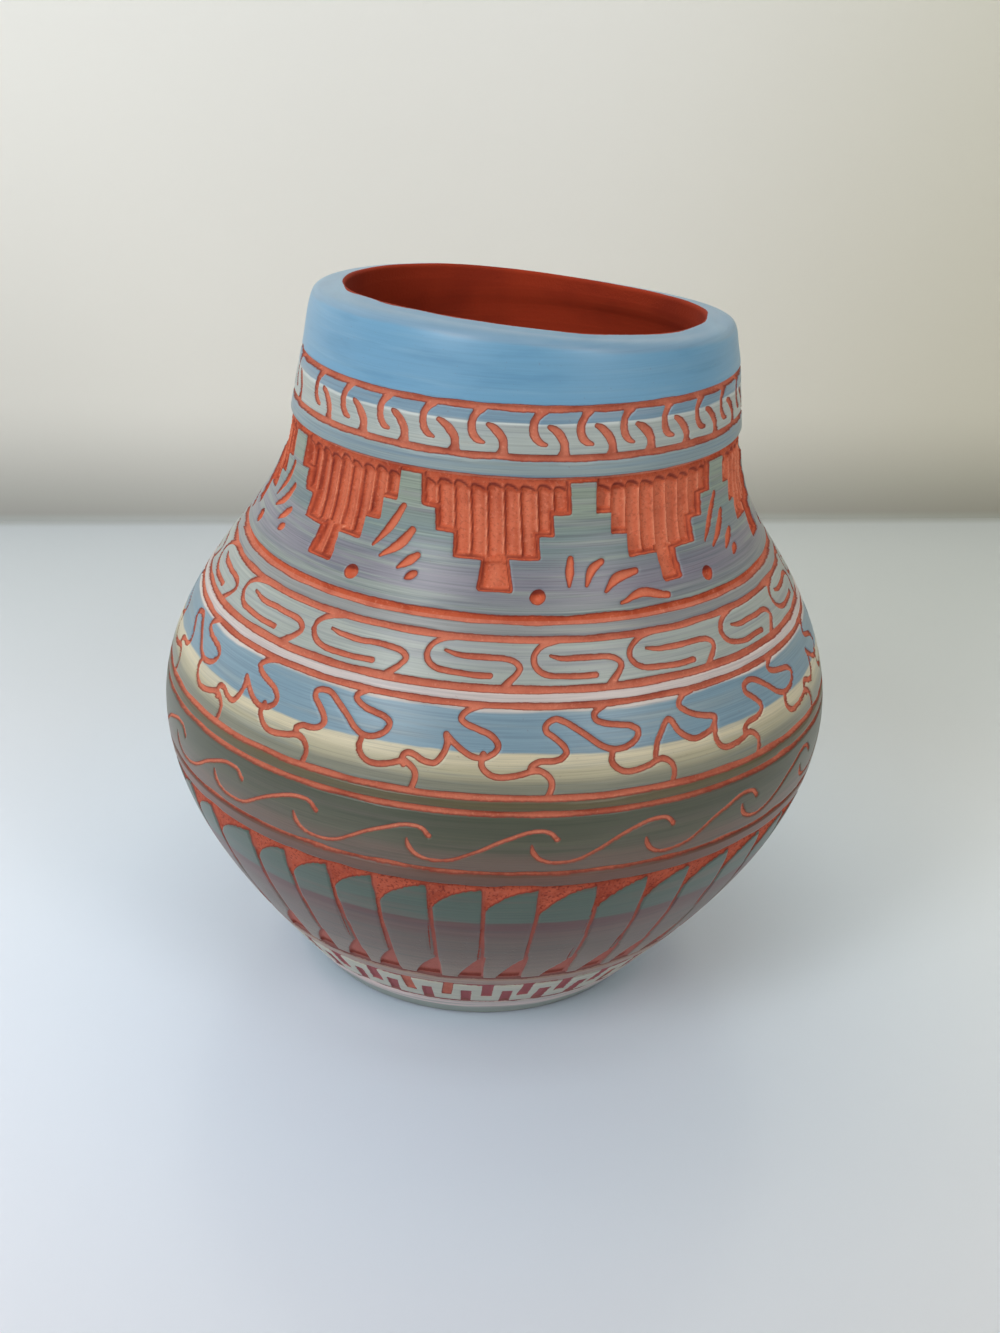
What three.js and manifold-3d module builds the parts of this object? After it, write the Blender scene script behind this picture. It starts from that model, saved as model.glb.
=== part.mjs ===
// Etched pottery vase: a hollow clay pot with a coat of colour in rings.
// Millimetres, +Z up, origin on the table under the middle of the belly.
import * as THREE from 'three';
import { mergeVertices } from 'three/addons/utils/BufferGeometryUtils.js';
import Module from 'manifold-3d';

// Radii of the thrown pot, measured to the outside of the coat
const footRadius = 31.9;
const bellyRadius = 60;
const shoulderRadius = 48.1;
const neckRadius = 39.9;
const lipRadius = 36.1;
const lipInnerRadius = 30.1;

// How steeply the wall flares or draws in, in mm of radius per mm of height
const footFlare = 0.8;
const shoulderTaper = 0.74;
const neckTaper = 0.18;
const lipTaper = 0.2;

// Clay
const wallThickness = 6;
const floorThickness = 7;
const footRingWidth = 6.5;
const recessDepth = 1.2;
const lipRoundWidth = 3.5;
const lipRoundRise = 3.7;

// Coat of colour over the clay: the gap keeps the two skins apart
const coatThickness = 0.6;
const coatGap = 0.3;

// Heights of the coloured rings, from the foot up
const coatStart = 0.4;
const footCoatHeight = 5.5;
const fretHeight = 7.2;
const footStripeHeight = 2.1;
const featherHeight = 26;
const mauveStripeHeight = 2.1;
const waveHeight = 9.6;
const oliveStripeHeight = 1.45;
const windingHeight = 11.9;
const whiteStripeHeight = 1.1;
const meanderHeight = 5.3;
const shoulderStripeHeight = 1.35;
const terraceHeight = 18.65;
const neckStripeHeight = 2.35;
const scrollHeight = 6.2;
const rimWallHeight = 4.75;

// Widths of the etched grooves between the rings
const hairGroove = 0.6;
const thinGroove = 0.95;
const mediumGroove = 1.1;
const wideGroove = 1.3;

// Where the wall's own curve turns, measured inside the rings it lies in
const neckDrop = 6.7;

// Stepped and fluted terraces cut down through the terrace ring
const terraceCount = 9;
const terracePhaseDegrees = -94;
const fluteCount = 9;
const fluteDegrees = 3.92;
const fluteDepth = 0.65;
const ridgeDepth = 0.22;
const stepDrop = 3.45;
const firstStepDrop = 4.7;
const tabDrop = 4.3;
const stepCount = 3;
const tabSkip = 3.5;
const ridgeShare = 0.3;
const cutterReach = 4;

// Hand-made wobble: the pot leans, and its lip tilts and waves
const bodyLean = 0.0324;
const lipTiltRight = 1.71;
const lipTiltBack = 1.61;
const lipWave = 0.25;
const lipWaveDegrees = -118;

// Facets round the pot and up its walls
const segments = 40;
const rowHeight = 6.2;
const innerRowHeight = 12;
const lipSteps = 3;
const tangentStep = 0.01;
const weldDistance = 0.00001;

const wasm = await Module();
wasm.setup();

const coats = layOutRings();
const bellyHeight = middle(coats.wave_coat);
const shoulderHeight = coats.meander_coat.high;
const neckHeight = coats.terrace_coat.high - neckDrop;
const lipRoundHeight = coats.rim_coat.low + rimWallHeight;
const lipHeight = lipRoundHeight + lipRoundRise;

const stations = [
  { height: 0, radius: footRadius, slope: footFlare },
  { height: bellyHeight, radius: bellyRadius, slope: 0 },
  { height: shoulderHeight, radius: shoulderRadius, slope: -shoulderTaper },
  { height: neckHeight, radius: neckRadius, slope: -neckTaper },
  { height: lipRoundHeight, radius: lipRadius, slope: -lipTaper },
];

// Stack the rings from the foot up, each with the groove above it
function layOutRings() {
  const stack = [
    ['foot_coat', footCoatHeight, hairGroove],
    ['foot_fret_coat', fretHeight, hairGroove],
    ['foot_stripe_coat', footStripeHeight, thinGroove],
    ['feather_coat', featherHeight, mediumGroove],
    ['mauve_stripe_coat', mauveStripeHeight, thinGroove],
    ['wave_coat', waveHeight, thinGroove],
    ['olive_stripe_coat', oliveStripeHeight, mediumGroove],
    ['winding_line_coat', windingHeight, thinGroove],
    ['white_stripe_coat', whiteStripeHeight, mediumGroove],
    ['meander_coat', meanderHeight, thinGroove],
    ['shoulder_stripe_coat', shoulderStripeHeight, wideGroove],
    ['terrace_coat', terraceHeight, thinGroove],
    ['neck_stripe_coat', neckStripeHeight, mediumGroove],
    ['neck_scroll_coat', scrollHeight, mediumGroove],
  ];
  const rings = {};
  let height = coatStart;
  for (const [name, tall, groove] of stack) {
    rings[name] = { low: height, high: height + tall };
    height += tall + groove;
  }
  rings.rim_coat = { low: height };
  return rings;
}

function middle(ring) {
  return (ring.low + ring.high) / 2;
}

// Radius of the wall at a height, a smooth curve through the stations
function wallRadius(height) {
  let i = 1;
  while (i < stations.length - 1 && height > stations[i].height) {
    i += 1;
  }
  const below = stations[i - 1];
  const above = stations[i];
  const span = above.height - below.height;
  const t = (height - below.height) / span;
  const fromBelow = (1 + 2 * t) * (1 - t) ** 2 * below.radius + t * (1 - t) ** 2 * span * below.slope;
  const fromAbove = t * t * (3 - 2 * t) * above.radius + t * t * (t - 1) * span * above.slope;
  return fromBelow + fromAbove;
}

// A point of the wall, moved square to the surface by a distance inward
function wallPoint(height, inward) {
  const rise = wallRadius(height + tangentStep) - wallRadius(height - tangentStep);
  const slope = rise / (2 * tangentStep);
  const length = Math.hypot(1, slope);
  return new THREE.Vector2(wallRadius(height) - inward / length, height + (inward * slope) / length);
}

// Points of the wall between two heights, in rows of about one height
function wallRows(low, high, inward, tall = rowHeight) {
  const rows = Math.max(1, Math.round((high - low) / tall));
  const points = [];
  for (let row = 0; row <= rows; row += 1) {
    points.push(wallPoint(low + ((high - low) * row) / rows, inward));
  }
  return points;
}

// The rounded lip, from the outer wall over the top to its inner edge
function lipArc(inward) {
  const points = [];
  for (let step = 1; step <= lipSteps; step += 1) {
    const angle = (Math.PI / 2) * (step / lipSteps);
    const across = (lipRoundWidth - inward) * Math.cos(angle);
    const up = (lipRoundRise - inward) * Math.sin(angle);
    points.push(new THREE.Vector2(lipRadius - lipRoundWidth + across, lipRoundHeight + up));
  }
  points.push(new THREE.Vector2(lipInnerRadius, lipHeight - inward));
  return points;
}

// Turn a closed outline of radius and height points round the vase's axis
function revolve(points) {
  const turned = new THREE.LatheGeometry(points, segments);
  turned.rotateX(Math.PI / 2);
  return turned;
}

function ringGeometry(outside, inside) {
  const outline = [...outside, ...inside.reverse(), outside[0]];
  return revolve(outline);
}

function bandGeometry(ring) {
  return ringGeometry(wallRows(ring.low, ring.high, 0), wallRows(ring.low, ring.high, coatThickness));
}

function rimGeometry(ring) {
  const outside = [...wallRows(ring.low, lipRoundHeight, 0), ...lipArc(0)];
  const inside = [...wallRows(ring.low, lipRoundHeight, coatThickness), ...lipArc(coatThickness)];
  return ringGeometry(outside, inside);
}

// The pot: foot ring and recess, outer wall, lip, inner wall and floor
function clayGeometry() {
  const skin = coatThickness + coatGap;
  const ringOuter = wallPoint(0, skin).x;
  const ringInner = ringOuter - footRingWidth;
  const bend = floorThickness + wallThickness;
  const inner = wallRows(bend, lipRoundHeight, wallThickness, innerRowHeight).reverse();
  const floorCorner = inner[inner.length - 1].x - wallThickness;
  const outline = [
    new THREE.Vector2(0, recessDepth),
    new THREE.Vector2(ringInner - recessDepth, recessDepth),
    new THREE.Vector2(ringInner, 0),
    new THREE.Vector2(ringOuter, 0),
    ...wallRows(coatStart, lipRoundHeight, skin),
    ...lipArc(skin),
    ...inner,
    new THREE.Vector2(floorCorner, floorThickness),
    new THREE.Vector2(0, floorThickness),
  ];
  return revolve(outline);
}

function toSolid(geometry) {
  const bare = geometry.clone();
  bare.deleteAttribute('normal');
  bare.deleteAttribute('uv');
  const merged = mergeVertices(bare, weldDistance);
  const vertProperties = new Float32Array(merged.attributes.position.array);
  const triVerts = new Uint32Array(merged.index.array);
  return new wasm.Manifold(new wasm.Mesh({ numProp: 3, vertProperties, triVerts }));
}

function toGeometry(solid) {
  const mesh = solid.getMesh();
  const geometry = new THREE.BufferGeometry();
  geometry.setAttribute('position', new THREE.BufferAttribute(new Float32Array(mesh.vertProperties), 3));
  geometry.setIndex(new THREE.BufferAttribute(new Uint32Array(mesh.triVerts), 1));
  return geometry;
}

// Wrap a block round the wall: x is mm out from a base radius, y an angle, z a height
function wrapOnWall(geometry, inward) {
  const position = geometry.attributes.position;
  for (let i = 0; i < position.count; i += 1) {
    const height = position.getZ(i);
    const radius = wallPoint(height, inward).x + position.getX(i);
    const angle = position.getY(i);
    position.setXYZ(i, radius * Math.cos(angle), radius * Math.sin(angle), height);
  }
  return geometry;
}

// Steps of one terrace: how many flutes in from each side, and how far down
function terraceSteps() {
  const first = coats.terrace_coat.high - firstStepDrop;
  const steps = [];
  for (let skip = 0; skip < stepCount; skip += 1) {
    steps.push({ skip, bottom: first - skip * stepDrop });
  }
  steps.push({ skip: tabSkip, bottom: steps.at(-1).bottom - tabDrop });
  return steps;
}

// The stepped outline of one terrace as a solid that passes through the coat
function terraceBlock(centre) {
  const top = coats.terrace_coat.high + thinGroove / 2;
  let block = null;
  for (const { skip, bottom } of terraceSteps()) {
    const half = THREE.MathUtils.degToRad((fluteCount / 2 - skip) * fluteDegrees);
    const shape = new THREE.Shape();
    shape.moveTo(-cutterReach, centre - half);
    shape.lineTo(cutterReach, centre - half);
    shape.lineTo(cutterReach, centre + half);
    shape.lineTo(-cutterReach, centre + half);
    shape.closePath();
    const geometry = new THREE.ExtrudeGeometry(shape, { depth: top - bottom, bevelEnabled: false });
    geometry.translate(0, 0, bottom);
    const solid = toSolid(wrapOnWall(geometry, 0));
    block = block ? block.add(solid) : solid;
  }
  return block;
}

// A washboard of upright flutes that follows the clay's surface
function fluteBoard(centre) {
  const fluteWidth = THREE.MathUtils.degToRad(fluteDegrees);
  const start = centre - (fluteCount / 2) * fluteWidth;
  const ridge = -ridgeDepth;
  const trough = -fluteDepth;
  const shape = new THREE.Shape();
  shape.moveTo(cutterReach, start);
  shape.lineTo(cutterReach, start + fluteCount * fluteWidth);
  for (let flute = fluteCount; flute > 0; flute -= 1) {
    const high = start + flute * fluteWidth;
    shape.lineTo(ridge, high);
    shape.lineTo(trough, high - ridgeShare * fluteWidth);
    shape.lineTo(trough, high - (1 - ridgeShare) * fluteWidth);
  }
  shape.lineTo(ridge, start);
  shape.closePath();
  const low = terraceSteps().at(-1).bottom;
  const high = coats.terrace_coat.high;
  const steps = Math.max(1, Math.round((high - low) / rowHeight));
  const geometry = new THREE.ExtrudeGeometry(shape, { depth: high - low, steps, bevelEnabled: false });
  geometry.translate(0, 0, low);
  return toSolid(wrapOnWall(geometry, coatThickness + coatGap));
}

// Cut every terrace out of the coat and flute the clay that it bares
function carveTerraces(coat, clay) {
  let carvedCoat = toSolid(coat);
  let carvedClay = toSolid(clay);
  for (let i = 0; i < terraceCount; i += 1) {
    const centre = THREE.MathUtils.degToRad(terracePhaseDegrees + (360 / terraceCount) * i);
    const block = terraceBlock(centre);
    carvedCoat = carvedCoat.subtract(block);
    carvedClay = carvedClay.subtract(fluteBoard(centre).intersect(block));
  }
  return { coat: toGeometry(carvedCoat), clay: toGeometry(carvedClay) };
}

// Lean the whole pot and tilt its lip, as thrown by hand
function settle(geometry) {
  const position = geometry.attributes.position;
  const lipStart = coats.rim_coat.low;
  for (let i = 0; i < position.count; i += 1) {
    const x = position.getX(i);
    const y = position.getY(i);
    const z = position.getZ(i);
    const angle = Math.atan2(y, x);
    const wave = lipWave * Math.cos(3 * (angle - THREE.MathUtils.degToRad(lipWaveDegrees)));
    const lift = wave - lipTiltRight * Math.cos(angle) - lipTiltBack * Math.sin(angle);
    const share = THREE.MathUtils.smoothstep(z, lipStart, lipRoundHeight);
    position.setXYZ(i, x + bodyLean * (z - bellyHeight), y, z + share * lift);
  }
  return geometry;
}

function addPiece(vase, name, geometry, color, roughness) {
  const material = new THREE.MeshStandardMaterial({ color, roughness, metalness: 0 });
  const piece = new THREE.Mesh(settle(geometry), material);
  piece.name = name;
  vase.add(piece);
}

const vase = new THREE.Group();
const carved = carveTerraces(bandGeometry(coats.terrace_coat), clayGeometry());

addPiece(vase, 'clay_body', carved.clay, 0xc4664a, 0.85);
addPiece(vase, 'terrace_coat', carved.coat, 0x8499a8, 0.7);
addPiece(vase, 'rim_coat', rimGeometry(coats.rim_coat), 0x6ea0cd, 0.7);

const bandColours = {
  foot_coat: 0x69786f,
  foot_fret_coat: 0xa9b3a6,
  foot_stripe_coat: 0xa39a96,
  feather_coat: 0x5d7873,
  mauve_stripe_coat: 0x756a70,
  wave_coat: 0x586053,
  olive_stripe_coat: 0x55645a,
  winding_line_coat: 0x9fb4b4,
  white_stripe_coat: 0xcdd2d2,
  meander_coat: 0x96b4be,
  shoulder_stripe_coat: 0x9ab0ba,
  neck_stripe_coat: 0x8ea9b8,
  neck_scroll_coat: 0xa0b9be,
};
for (const [name, color] of Object.entries(bandColours)) {
  addPiece(vase, name, bandGeometry(coats[name]), color, 0.7);
}

export default vase;
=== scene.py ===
"""Etched pottery vase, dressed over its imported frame.

A hollow clay pot carries fifteen closed rings of brushed colour. Each ring is a tube that is laid
on the pot's wall and cut through to the clay with its own ornament. Sizes are in millimetres until
a mesh is written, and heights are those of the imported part.
"""
from __future__ import annotations

import logging
import math
from dataclasses import dataclass
from enum import Enum
from math import radians
from typing import Iterable, Sequence, Union

import bpy
import numpy as np
from mathutils import Matrix, Vector


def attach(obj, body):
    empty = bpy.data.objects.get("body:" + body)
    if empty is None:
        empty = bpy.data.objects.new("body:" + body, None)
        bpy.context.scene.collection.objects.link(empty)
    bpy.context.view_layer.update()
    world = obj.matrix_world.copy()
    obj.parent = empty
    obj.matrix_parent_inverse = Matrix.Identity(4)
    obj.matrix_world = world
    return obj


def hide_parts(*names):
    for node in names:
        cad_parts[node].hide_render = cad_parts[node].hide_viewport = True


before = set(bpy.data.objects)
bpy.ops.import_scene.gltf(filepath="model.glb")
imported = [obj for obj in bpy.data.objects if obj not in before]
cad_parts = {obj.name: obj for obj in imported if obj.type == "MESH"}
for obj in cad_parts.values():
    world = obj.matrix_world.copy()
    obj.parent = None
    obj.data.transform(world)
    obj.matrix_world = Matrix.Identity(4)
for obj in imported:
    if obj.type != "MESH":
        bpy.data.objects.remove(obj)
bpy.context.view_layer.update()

LOG = logging.getLogger("vase")
FULL_TURN = 2 * math.pi
MM = 0.001

# Lengths in mm: the skin's back under the wall, the least skin under a cut, how far the hand
# strays sideways and upwards, the grain of cut clay, how far from its line a stroke is worked
# out, the depth of most strokes, the width over which strokes, grooves and other cuts come down
# to their depth, how close to an end a point belongs to it, and what stands for uncut.
SKIN_BACK = 2.0
LEAST_SKIN = 0.2
STRAY_ACROSS, STRAY_UP = 0.06, 0.05
CUT_GRAIN = 0.016
STROKE_REACH = 1.5
STROKE_DEPTH = 0.75
STROKE_SLOPE, GROOVE_SLOPE, CUT_SLOPE = 0.48, 0.36, 0.4
CLOSE = 1e-4
OUTSIDE = -9.0

# The lowest ring's edge, the rise where the clay of the inside begins, and the first ring's seed.
FOOT_EDGE = 0.4
INSIDE_RISE = 124.0
FIRST_SEED = 11

# Roughness and gloss of bare clay.
MATTE = 0.88
SPECULAR = 0.25

Colour = tuple[float, float, float, float]
Shade = tuple[int, int, int]
Numbers = Union[np.ndarray, float]
Point = tuple[float, float]
Place = tuple[float, float, float]


def pigment(red: int, green: int, blue: int) -> Colour:
    """Turn a display colour into the linear colour that a shader takes.

    Args:
        red: Red from 0 to 255.
        green: Green from 0 to 255.
        blue: Blue from 0 to 255.

    Returns:
        The linear red, green, blue and an alpha of one.
    """
    shares = [value / 255 for value in (red, green, blue)]
    linear = [
        ((share + 0.055) / 1.055) ** 2.4 if share > 0.04 else share / 12.92 for share in shares
    ]
    return (*linear, 1.0)


def wrapped(angle: np.ndarray) -> np.ndarray:
    """Bring angles into the half turn either side of zero."""
    return (angle + math.pi) % FULL_TURN - math.pi


def smooth(value: np.ndarray, low: float, high: float) -> np.ndarray:
    """Ease from 0 at low to 1 at high."""
    t = np.clip((value - low) / (high - low), 0, 1)
    return t * t * (3 - 2 * t)


def bowl(share: np.ndarray) -> np.ndarray:
    """Depth across a rounded cut, from 0 at its edge to 1 at its middle."""
    t = np.clip(share, 0, 1)
    return t * (2 - t)


def rounded(first: np.ndarray, second: np.ndarray, radius: float) -> np.ndarray:
    """Return the distance inside two edges at once, with the corner between them rounded."""
    corner = radius - np.hypot(radius - first, radius - second)
    return np.where((first < radius) & (second < radius), corner, np.minimum(first, second))


def past_arc(
    across: np.ndarray, up: np.ndarray, wide: np.ndarray, tall: float, power: float,
) -> np.ndarray:
    """Measure how far points lie past an arc that runs round the origin.

    Args:
        across: Distance of each point from the origin, along the arc's first leg.
        up: The same along its second leg.
        wide: Where the arc meets the first leg.
        tall: Where it meets the second leg.
        power: 1 for a straight line between the two, 2 for a quarter of an ellipse.

    Returns:
        The distance, negative on the origin's side.
    """
    x, y = np.maximum(across / wide, 1e-3), np.maximum(up / tall, 1e-3)
    size = (x ** power + y ** power) ** (1 / power)
    slope = np.hypot((x / size) ** (power - 1) / wide, (y / size) ** (power - 1) / tall)
    return (size - 1) / slope


def hermite(
    share: np.ndarray, start: Numbers, leaving: Numbers, end: Numbers, arriving: Numbers,
) -> np.ndarray:
    """Go smoothly from one value to another.

    Args:
        share: How far along, from 0 to 1.
        start: The value at the start.
        leaving: Its rate of change there.
        end: The value at the end.
        arriving: Its rate of change there.

    Returns:
        The values along the way.
    """
    rest = (1 - share) ** 2
    first = (1 + 2 * share) * rest * start + share * rest * leaving
    return first + share * share * (3 - 2 * share) * end + share * share * (share - 1) * arriving


def round_the_pot(front: Sequence[float], total: int) -> list[float]:
    """Space repeats evenly round the back between those that are placed at the front.

    Args:
        front: Places of the front repeats in degrees, from left to right.
        total: How many repeats the whole ring has.

    Returns:
        The places of all repeats in radians.
    """
    missing = total - len(front)
    gap = front[0] + 360 - front[-1]
    back = [front[-1] + gap * (i + 1) / (missing + 1) for i in range(missing)]
    return [radians(place) for place in [*front, *back]]


def neighbours(front: Sequence[float], total: int) -> list[Point]:
    """Return the place of each repeat in radians, with that of the one after it."""
    places = round_the_pot(front, total)
    return list(zip(places, [*places[1:], places[0] + FULL_TURN]))


class Wire:
    """A node's output that takes part in Python expressions."""

    def __init__(self, graph: "Graph", socket: bpy.types.NodeSocket | None) -> None:
        """Hold the output and the graph that it belongs to."""
        self.graph = graph
        self.socket = socket

    def _maths(self, operation: str, *values: "Value") -> "Wire":
        """Add a Math node over these values."""
        return self.graph.add("ShaderNodeMath", {"operation": operation}, dict(enumerate(values)))

    def __add__(self, other: "Value") -> "Wire":
        """Add a value."""
        return self._maths("ADD", self, other)

    def __sub__(self, other: "Value") -> "Wire":
        """Take a value away."""
        return self._maths("SUBTRACT", self, other)

    def __mul__(self, other: "Value") -> "Wire":
        """Multiply by a value."""
        return self._maths("MULTIPLY", self, other)

    def __rsub__(self, other: "Value") -> "Wire":
        """Take this from a value."""
        return self._maths("SUBTRACT", other, self)

    __radd__ = __add__
    __rmul__ = __mul__

    def eased(self, low: float, high: float) -> "Wire":
        """Ease from 0 at low to 1 at high."""
        values = {"Value": self, "From Min": low, "From Max": high}
        return self.graph.add("ShaderNodeMapRange", {"interpolation_type": "SMOOTHSTEP"}, values)


Value = Union[Wire, float]


class Graph:
    """The nodes of one material, or of the world."""

    def __init__(self, owner: str | bpy.types.World) -> None:
        """Start an empty graph, in a new material if the owner is only a name."""
        self.owner = bpy.data.materials.new(owner) if isinstance(owner, str) else owner
        self.owner.use_nodes = True
        self.tree = self.owner.node_tree
        self.tree.nodes.clear()

    def add(
        self, kind: str, settings: dict | None = None, values: dict | None = None,
        output: int | str = 0,
    ) -> Wire:
        """Add one node.

        Args:
            kind: The node's type.
            settings: Its own settings, which are set first.
            values: Numbers, colours or wires for its inputs, by name or index.
            output: Which output to return.

        Returns:
            A wire from that output, which is empty for a node without outputs.
        """
        node = self.tree.nodes.new(kind)
        for name, value in (settings or {}).items():
            setattr(node, name, value)
        for name, value in (values or {}).items():
            if isinstance(value, Wire):
                self.tree.links.new(value.socket, node.inputs[name])
            else:
                node.inputs[name].default_value = value
        return Wire(self, node.outputs[output] if node.outputs else None)

    def mix(
        self, first: Wire | Colour, second: Wire | Colour, share: Value, blend: str = "MIX",
    ) -> Wire:
        """Blend two colours by a share from 0 to 1."""
        settings = {"data_type": "RGBA", "blend_type": blend}
        return self.add("ShaderNodeMix", settings, {0: share, 6: first, 7: second}, output=2)

    def layers(
        self, base: Wire | Colour, marks: Iterable[tuple[Wire | Colour, Value]], blend: str = "MIX",
    ) -> Wire | Colour:
        """Lay colours over a base one after another, each by its own share."""
        for colour, share in marks:
            base = self.mix(base, colour, share, blend)
        return base

    def place(self) -> Wire:
        """Return the Object coordinates, in metres."""
        return self.add("ShaderNodeTexCoord", output="Object")

    def axis(self, name: str, place: Wire | None = None) -> Wire:
        """Return one of X, Y and Z, of the Object coordinates if no others are given."""
        return self.add("ShaderNodeSeparateXYZ", values={0: place or self.place()}, output=name)

    def attribute(self, name: str) -> Wire:
        """Return a number that the mesh carries at its points."""
        return self.add("ShaderNodeAttribute", {"attribute_name": name}, output="Fac")

    def noise(self, across: float, tall: float, detail: float = 3.0, seed: float = 0.0) -> Wire:
        """Add noise with features of a given size.

        Args:
            across: Size of a feature round the pot, in mm.
            tall: Size of a feature up the pot, in mm.
            detail: Octaves of finer noise.
            seed: Shift that sets this noise apart from the others.

        Returns:
            A value of about 0.5 on average.
        """
        scale = (1 / (across * MM), 1 / (across * MM), 1 / (tall * MM))
        shift = (seed, 1.7 * seed, 0.4 * seed)
        place = self.place()
        for operation, by in (("MULTIPLY", scale), ("ADD", shift)):
            place = self.add("ShaderNodeVectorMath", {"operation": operation}, {0: place, 1: by})
        values = {"Vector": place, "Scale": 1.0, "Detail": detail}
        return self.add("ShaderNodeTexNoise", values=values)

    def bump(self, height: Wire, strength: float, distance: float) -> Wire:
        """Return a normal that is bumped by a height, at most by a distance in mm."""
        values = {"Strength": strength, "Distance": distance * MM, "Height": height}
        return self.add("ShaderNodeBump", values=values)

    def finish(self, constants: dict, values: dict, one_sided: bool = False) -> bpy.types.Material:
        """Close the material with a Principled shader.

        Args:
            constants: Inputs that are the same all over.
            values: Inputs that change over the surface.
            one_sided: Whether the surface is clear from behind, so that the set hides nothing.

        Returns:
            The finished material.
        """
        shader = self.add("ShaderNodeBsdfPrincipled", values={**constants, **values})
        if one_sided:
            behind = self.add("ShaderNodeNewGeometry", output="Backfacing")
            clear = self.add("ShaderNodeBsdfTransparent")
            shader = self.add("ShaderNodeMixShader", values={0: behind, 1: shader, 2: clear})
        self.add("ShaderNodeOutputMaterial", values={"Surface": shader})
        return self.owner


@dataclass(frozen=True)
class Tone:
    """A colour that takes over above a height of the wall."""

    above: float
    colour: Colour
    blend: float = 0.35


@dataclass(frozen=True)
class Streak:
    """Brush marks of another colour that run round the pot."""

    colour: Colour
    amount: float
    length: float = 30.0
    tall: float = 0.9


@dataclass(frozen=True)
class ClayFinish:
    """Bare fired clay: bright in a cut, with painted shade in dark red along the cut's edges."""

    floor: Colour = pigment(210, 126, 100)
    pale: Colour = pigment(230, 161, 134)
    deep: Colour = pigment(178, 87, 66)
    # This dark red is the painted shade along cut edges, and also the real colour of stipple dots
    # and paint pits.
    edge: Colour = pigment(116, 44, 38)

    def colour(self, graph: Graph, cut: Wire) -> Wire:
        """Build the colour of clay in a cut.

        Args:
            graph: The material's nodes.
            cut: How far inside a cut the surface is, in mm.

        Returns:
            The colour.
        """
        cloud = graph.noise(5.0, 4.0, 4.0, 3.1)
        grain = graph.noise(0.55, 0.55, 3.0, 8.3)
        # Painted highlights and painted shade: pale where this mark is positive, dark red where it
        # is negative.
        painted_light_and_tone = graph.attribute("painted_light_and_tone")
        # Painted shade: dark red along the edges of every cut.
        rim = 1 - cut.eased(0.03, 0.22)
        return graph.layers(self.floor, (
            (self.deep, cloud.eased(0.42, 0.72) * 0.6),
            (self.pale, grain.eased(0.55, 0.75) * 0.4),
            (self.deep, grain.eased(0.45, 0.25) * 0.35),
            (self.pale, painted_light_and_tone.eased(0.0, 1.0)),
            (self.edge, painted_light_and_tone.eased(0.0, -1.0) * 0.8),
            (self.edge, rim * 0.8),
        ))


@dataclass(frozen=True)
class InnerClayFinish:
    """The uncoated clay of the inside and the foot."""

    body: Colour = pigment(152, 48, 20)
    dark: Colour = pigment(128, 36, 14)
    light: Colour = pigment(164, 60, 30)

    def colour(self, graph: Graph) -> Wire:
        """Build the colour, clouded and marked with the rings that smoothing leaves."""
        rings = graph.noise(60.0, 0.8, 4.0, 5.0)
        cloud = graph.noise(16.0, 12.0, 3.0, 2.0)
        return graph.layers(self.body, (
            (self.dark, cloud.eased(0.45, 0.7) * 0.6),
            (self.light, rings.eased(0.55, 0.75) * 0.3),
        ))

    def material(self, name: str) -> bpy.types.Material:
        """Build the material of the bare parts."""
        graph = Graph(name)
        colour = self.colour(graph)
        height = graph.noise(60.0, 0.8, 4.0, 5.0) * 0.6 + graph.noise(0.5, 0.5, 2.0, 9.0) * 0.4
        bump = graph.bump(height, 0.35, 0.25)
        matte = {"Roughness": MATTE, "Specular IOR Level": SPECULAR}
        return graph.finish(matte, {"Base Color": colour, "Normal": bump})


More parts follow.
